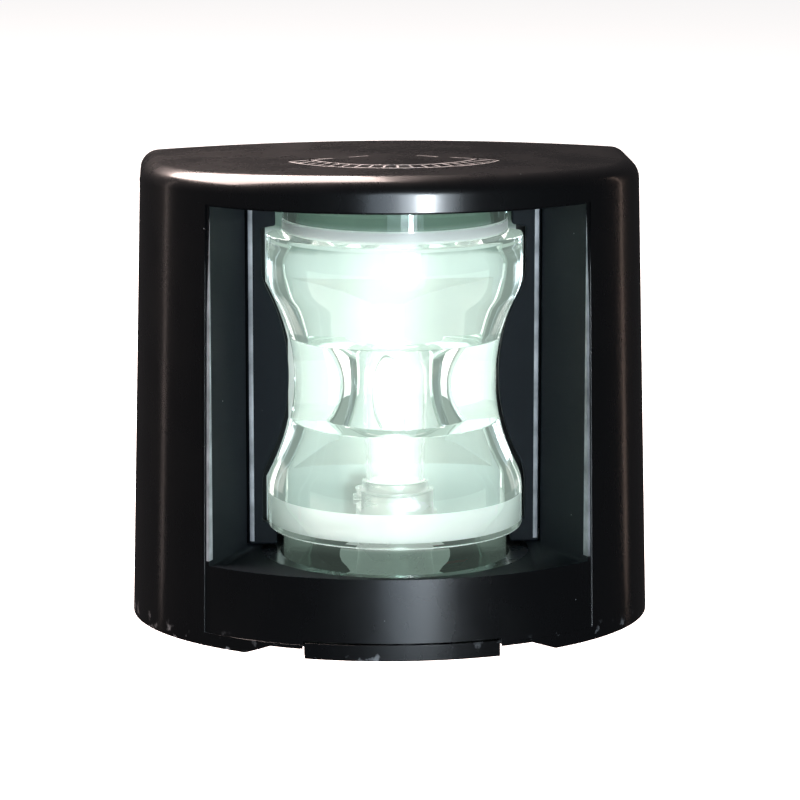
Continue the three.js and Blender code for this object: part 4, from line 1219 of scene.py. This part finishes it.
# ---- wiring
TERMINAL_X, POLE_Y, TERMINAL_LOW = 40.9, -10.5, 9.0
NEAR_POLE, FAR_POLE = TERMINAL_X - 2.8, TERMINAL_X + 2.8
REST = FLOOR_TOP + 0.85
LEAD_NEGATIVE = [
    (-PLUNGER_X, AXIS_Y, REST),
    (-2.8, AXIS_Y + 10, REST),
    (-2.2, AXIS_Y + 20, REST),
    (2.5, AXIS_Y + 29, REST),
    (13, -13.2, REST),
    (26, -12.2, REST),
    (33.5, -11.2, REST + 0.4),
    (NEAR_POLE - 0.7, -10.6, REST + 2.4),
    (NEAR_POLE, POLE_Y, TERMINAL_LOW + 0.5),
    (NEAR_POLE, POLE_Y, TERMINAL_LOW + 3.5),
]
LEAD_POSITIVE = [
    (PLUNGER_X, AXIS_Y, REST),
    (3, AXIS_Y + 10, REST),
    (3.4, AXIS_Y + 18, REST),
    (9, AXIS_Y + 25.6, REST),
    (20, -17.6, REST),
    (33, -15.6, REST),
    (39.5, -13.4, REST + 0.4),
    (FAR_POLE - 0.8, -10.8, REST + 2.4),
    (FAR_POLE, POLE_Y, TERMINAL_LOW + 0.5),
    (FAR_POLE, POLE_Y, TERMINAL_LOW + 3.5),
]


def make_wiring():
    """A two-pole terminal block with bores for wires and screws, and the two leads to the socket."""
    low, high = span("terminal_block")
    block = box((low.x, high.x), (low.y, high.y), (low.z, high.z))
    middle = (low.z + high.z) / 2
    for x in (NEAR_POLE, FAR_POLE):
        cut(block, rod("y", 1.9, low.y - 1, low.y + 6, x, middle),
            rod("z", 1.1, low.z - 1, middle - 2.4, x, POLE_Y),
            rod("z", 1.4, middle + 2.4, high.z + 1, x, POLE_Y))
    cut(block, box((TERMINAL_X - 0.4, TERMINAL_X + 0.4), (low.y - 1, low.y + 1.2), (low.z - 1, high.z + 1)))
    dress(block, "terminal_body", "base", "polyamide", ["terminal_block"], 0.4)
    dress(wire(LEAD_NEGATIVE, 0.65), "negative_lead", "base", "wire_black", ["lead_negative"], 0)
    dress(wire(LEAD_POSITIVE, 0.65), "positive_lead", "base", "wire_red", ["lead_positive"], 0)


# ---- cable gland
def at_gland(piece):
    """Turns a piece made about +Z so that it lies along Y in the gland's hole."""
    piece.data.transform(Matrix.Translation((GLAND_X, 0, GLAND_Z)) @ BACKWARD)
    return piece


def gland_bore(radius, low, high):
    return rod("y", radius, low, high, GLAND_X, GLAND_Z, 48)


def hexagon(across, low, high):
    """A hexagonal prism along Y at the gland, its corners turned off at both ends."""
    reach = across / sqrt(3)
    half = [(0, low), (across / 2, low), (reach, low + 0.7)]
    half += [(reach, high - 0.7), (across / 2, high), (0, high)]
    return common(upright(circle(reach, GLAND_X, GLAND_Z, 6), low, high), at_gland(turned(half, 0, 0, 64)))


def threaded(radius, low, high):
    """A rod along Y at the gland with thread grooves round it."""
    root = radius - 0.45
    profile = [(0, low)]
    for z in range(low, high):
        profile += [(root, z + 0.05), (radius, z + 0.4), (radius, z + 0.6), (root, z + 0.95)]
    return at_gland(turned(profile + [(0, high)], 0, 0, 48))


def make_gland():
    body = join(hexagon(15, -8.2, -5.8), threaded(6, -6, -2), threaded(5.3, -14, -8))
    cut(body, gland_bore(4.2, -20, 0))
    dress(body, "gland_body", "base", "satin_black", ["cable_gland_body"], 0.12, 2)
    nut = cut(hexagon(14, -17, -8.6), gland_bore(5.7, -14.4, -8), gland_bore(3.4, -18, -14))
    dress(nut, "gland_nut", "base", "satin_black", ["cable_gland_nut"], 0.3)
    low, high = (c.y for c in span("cable_gland_seal"))
    seal = at_gland(turned([(3, low), (3.95, low), (3.95, high), (3, high)], 0, 0, 48))
    dress(seal, "gland_seal", "base", "seal_rubber", ["cable_gland_seal"], 0.2)


# ---- run
make_world()
make_camera()
make_floor()
make_light("key", 12.4, 0, 0.9, (0.09, 0.13), 1.7, (0.9, 0.96, 1.0), "ELLIPSE")
make_light("halo", 10.5, 0, 0.92, (0.27, 0.3), 1.3, (0.8, 0.91, 1.0), "ELLIPSE")
make_light("bounce", 7, 0, 0.95, (0.62, 0.5), 1.5, (0.72, 0.86, 1.0), "ELLIPSE")
make_light("strip_left", -118, 4, 0.9, (0.02, 0.6), 0.07, (1.0, 0.8, 0.74), "RECTANGLE")
make_light("strip_right", 122, 4, 0.9, (0.02, 0.6), 0.07, (1.0, 0.72, 0.6), "RECTANGLE")
make_ceiling()
make_lamp()
make_hood()
make_degree_scale()
make_lens()
for name, side in NAMED_SIDES:
    sector_screen(name, side)
make_seals()
make_clamp_ring()
make_reflector()
make_heat_shield()
make_screws()
make_base()
make_latch()
make_socket()
make_bulb_cap()
make_bulb_glass()
make_filament()
make_wiring()
make_gland()

bpy.context.scene.view_settings.view_transform = "Standard"
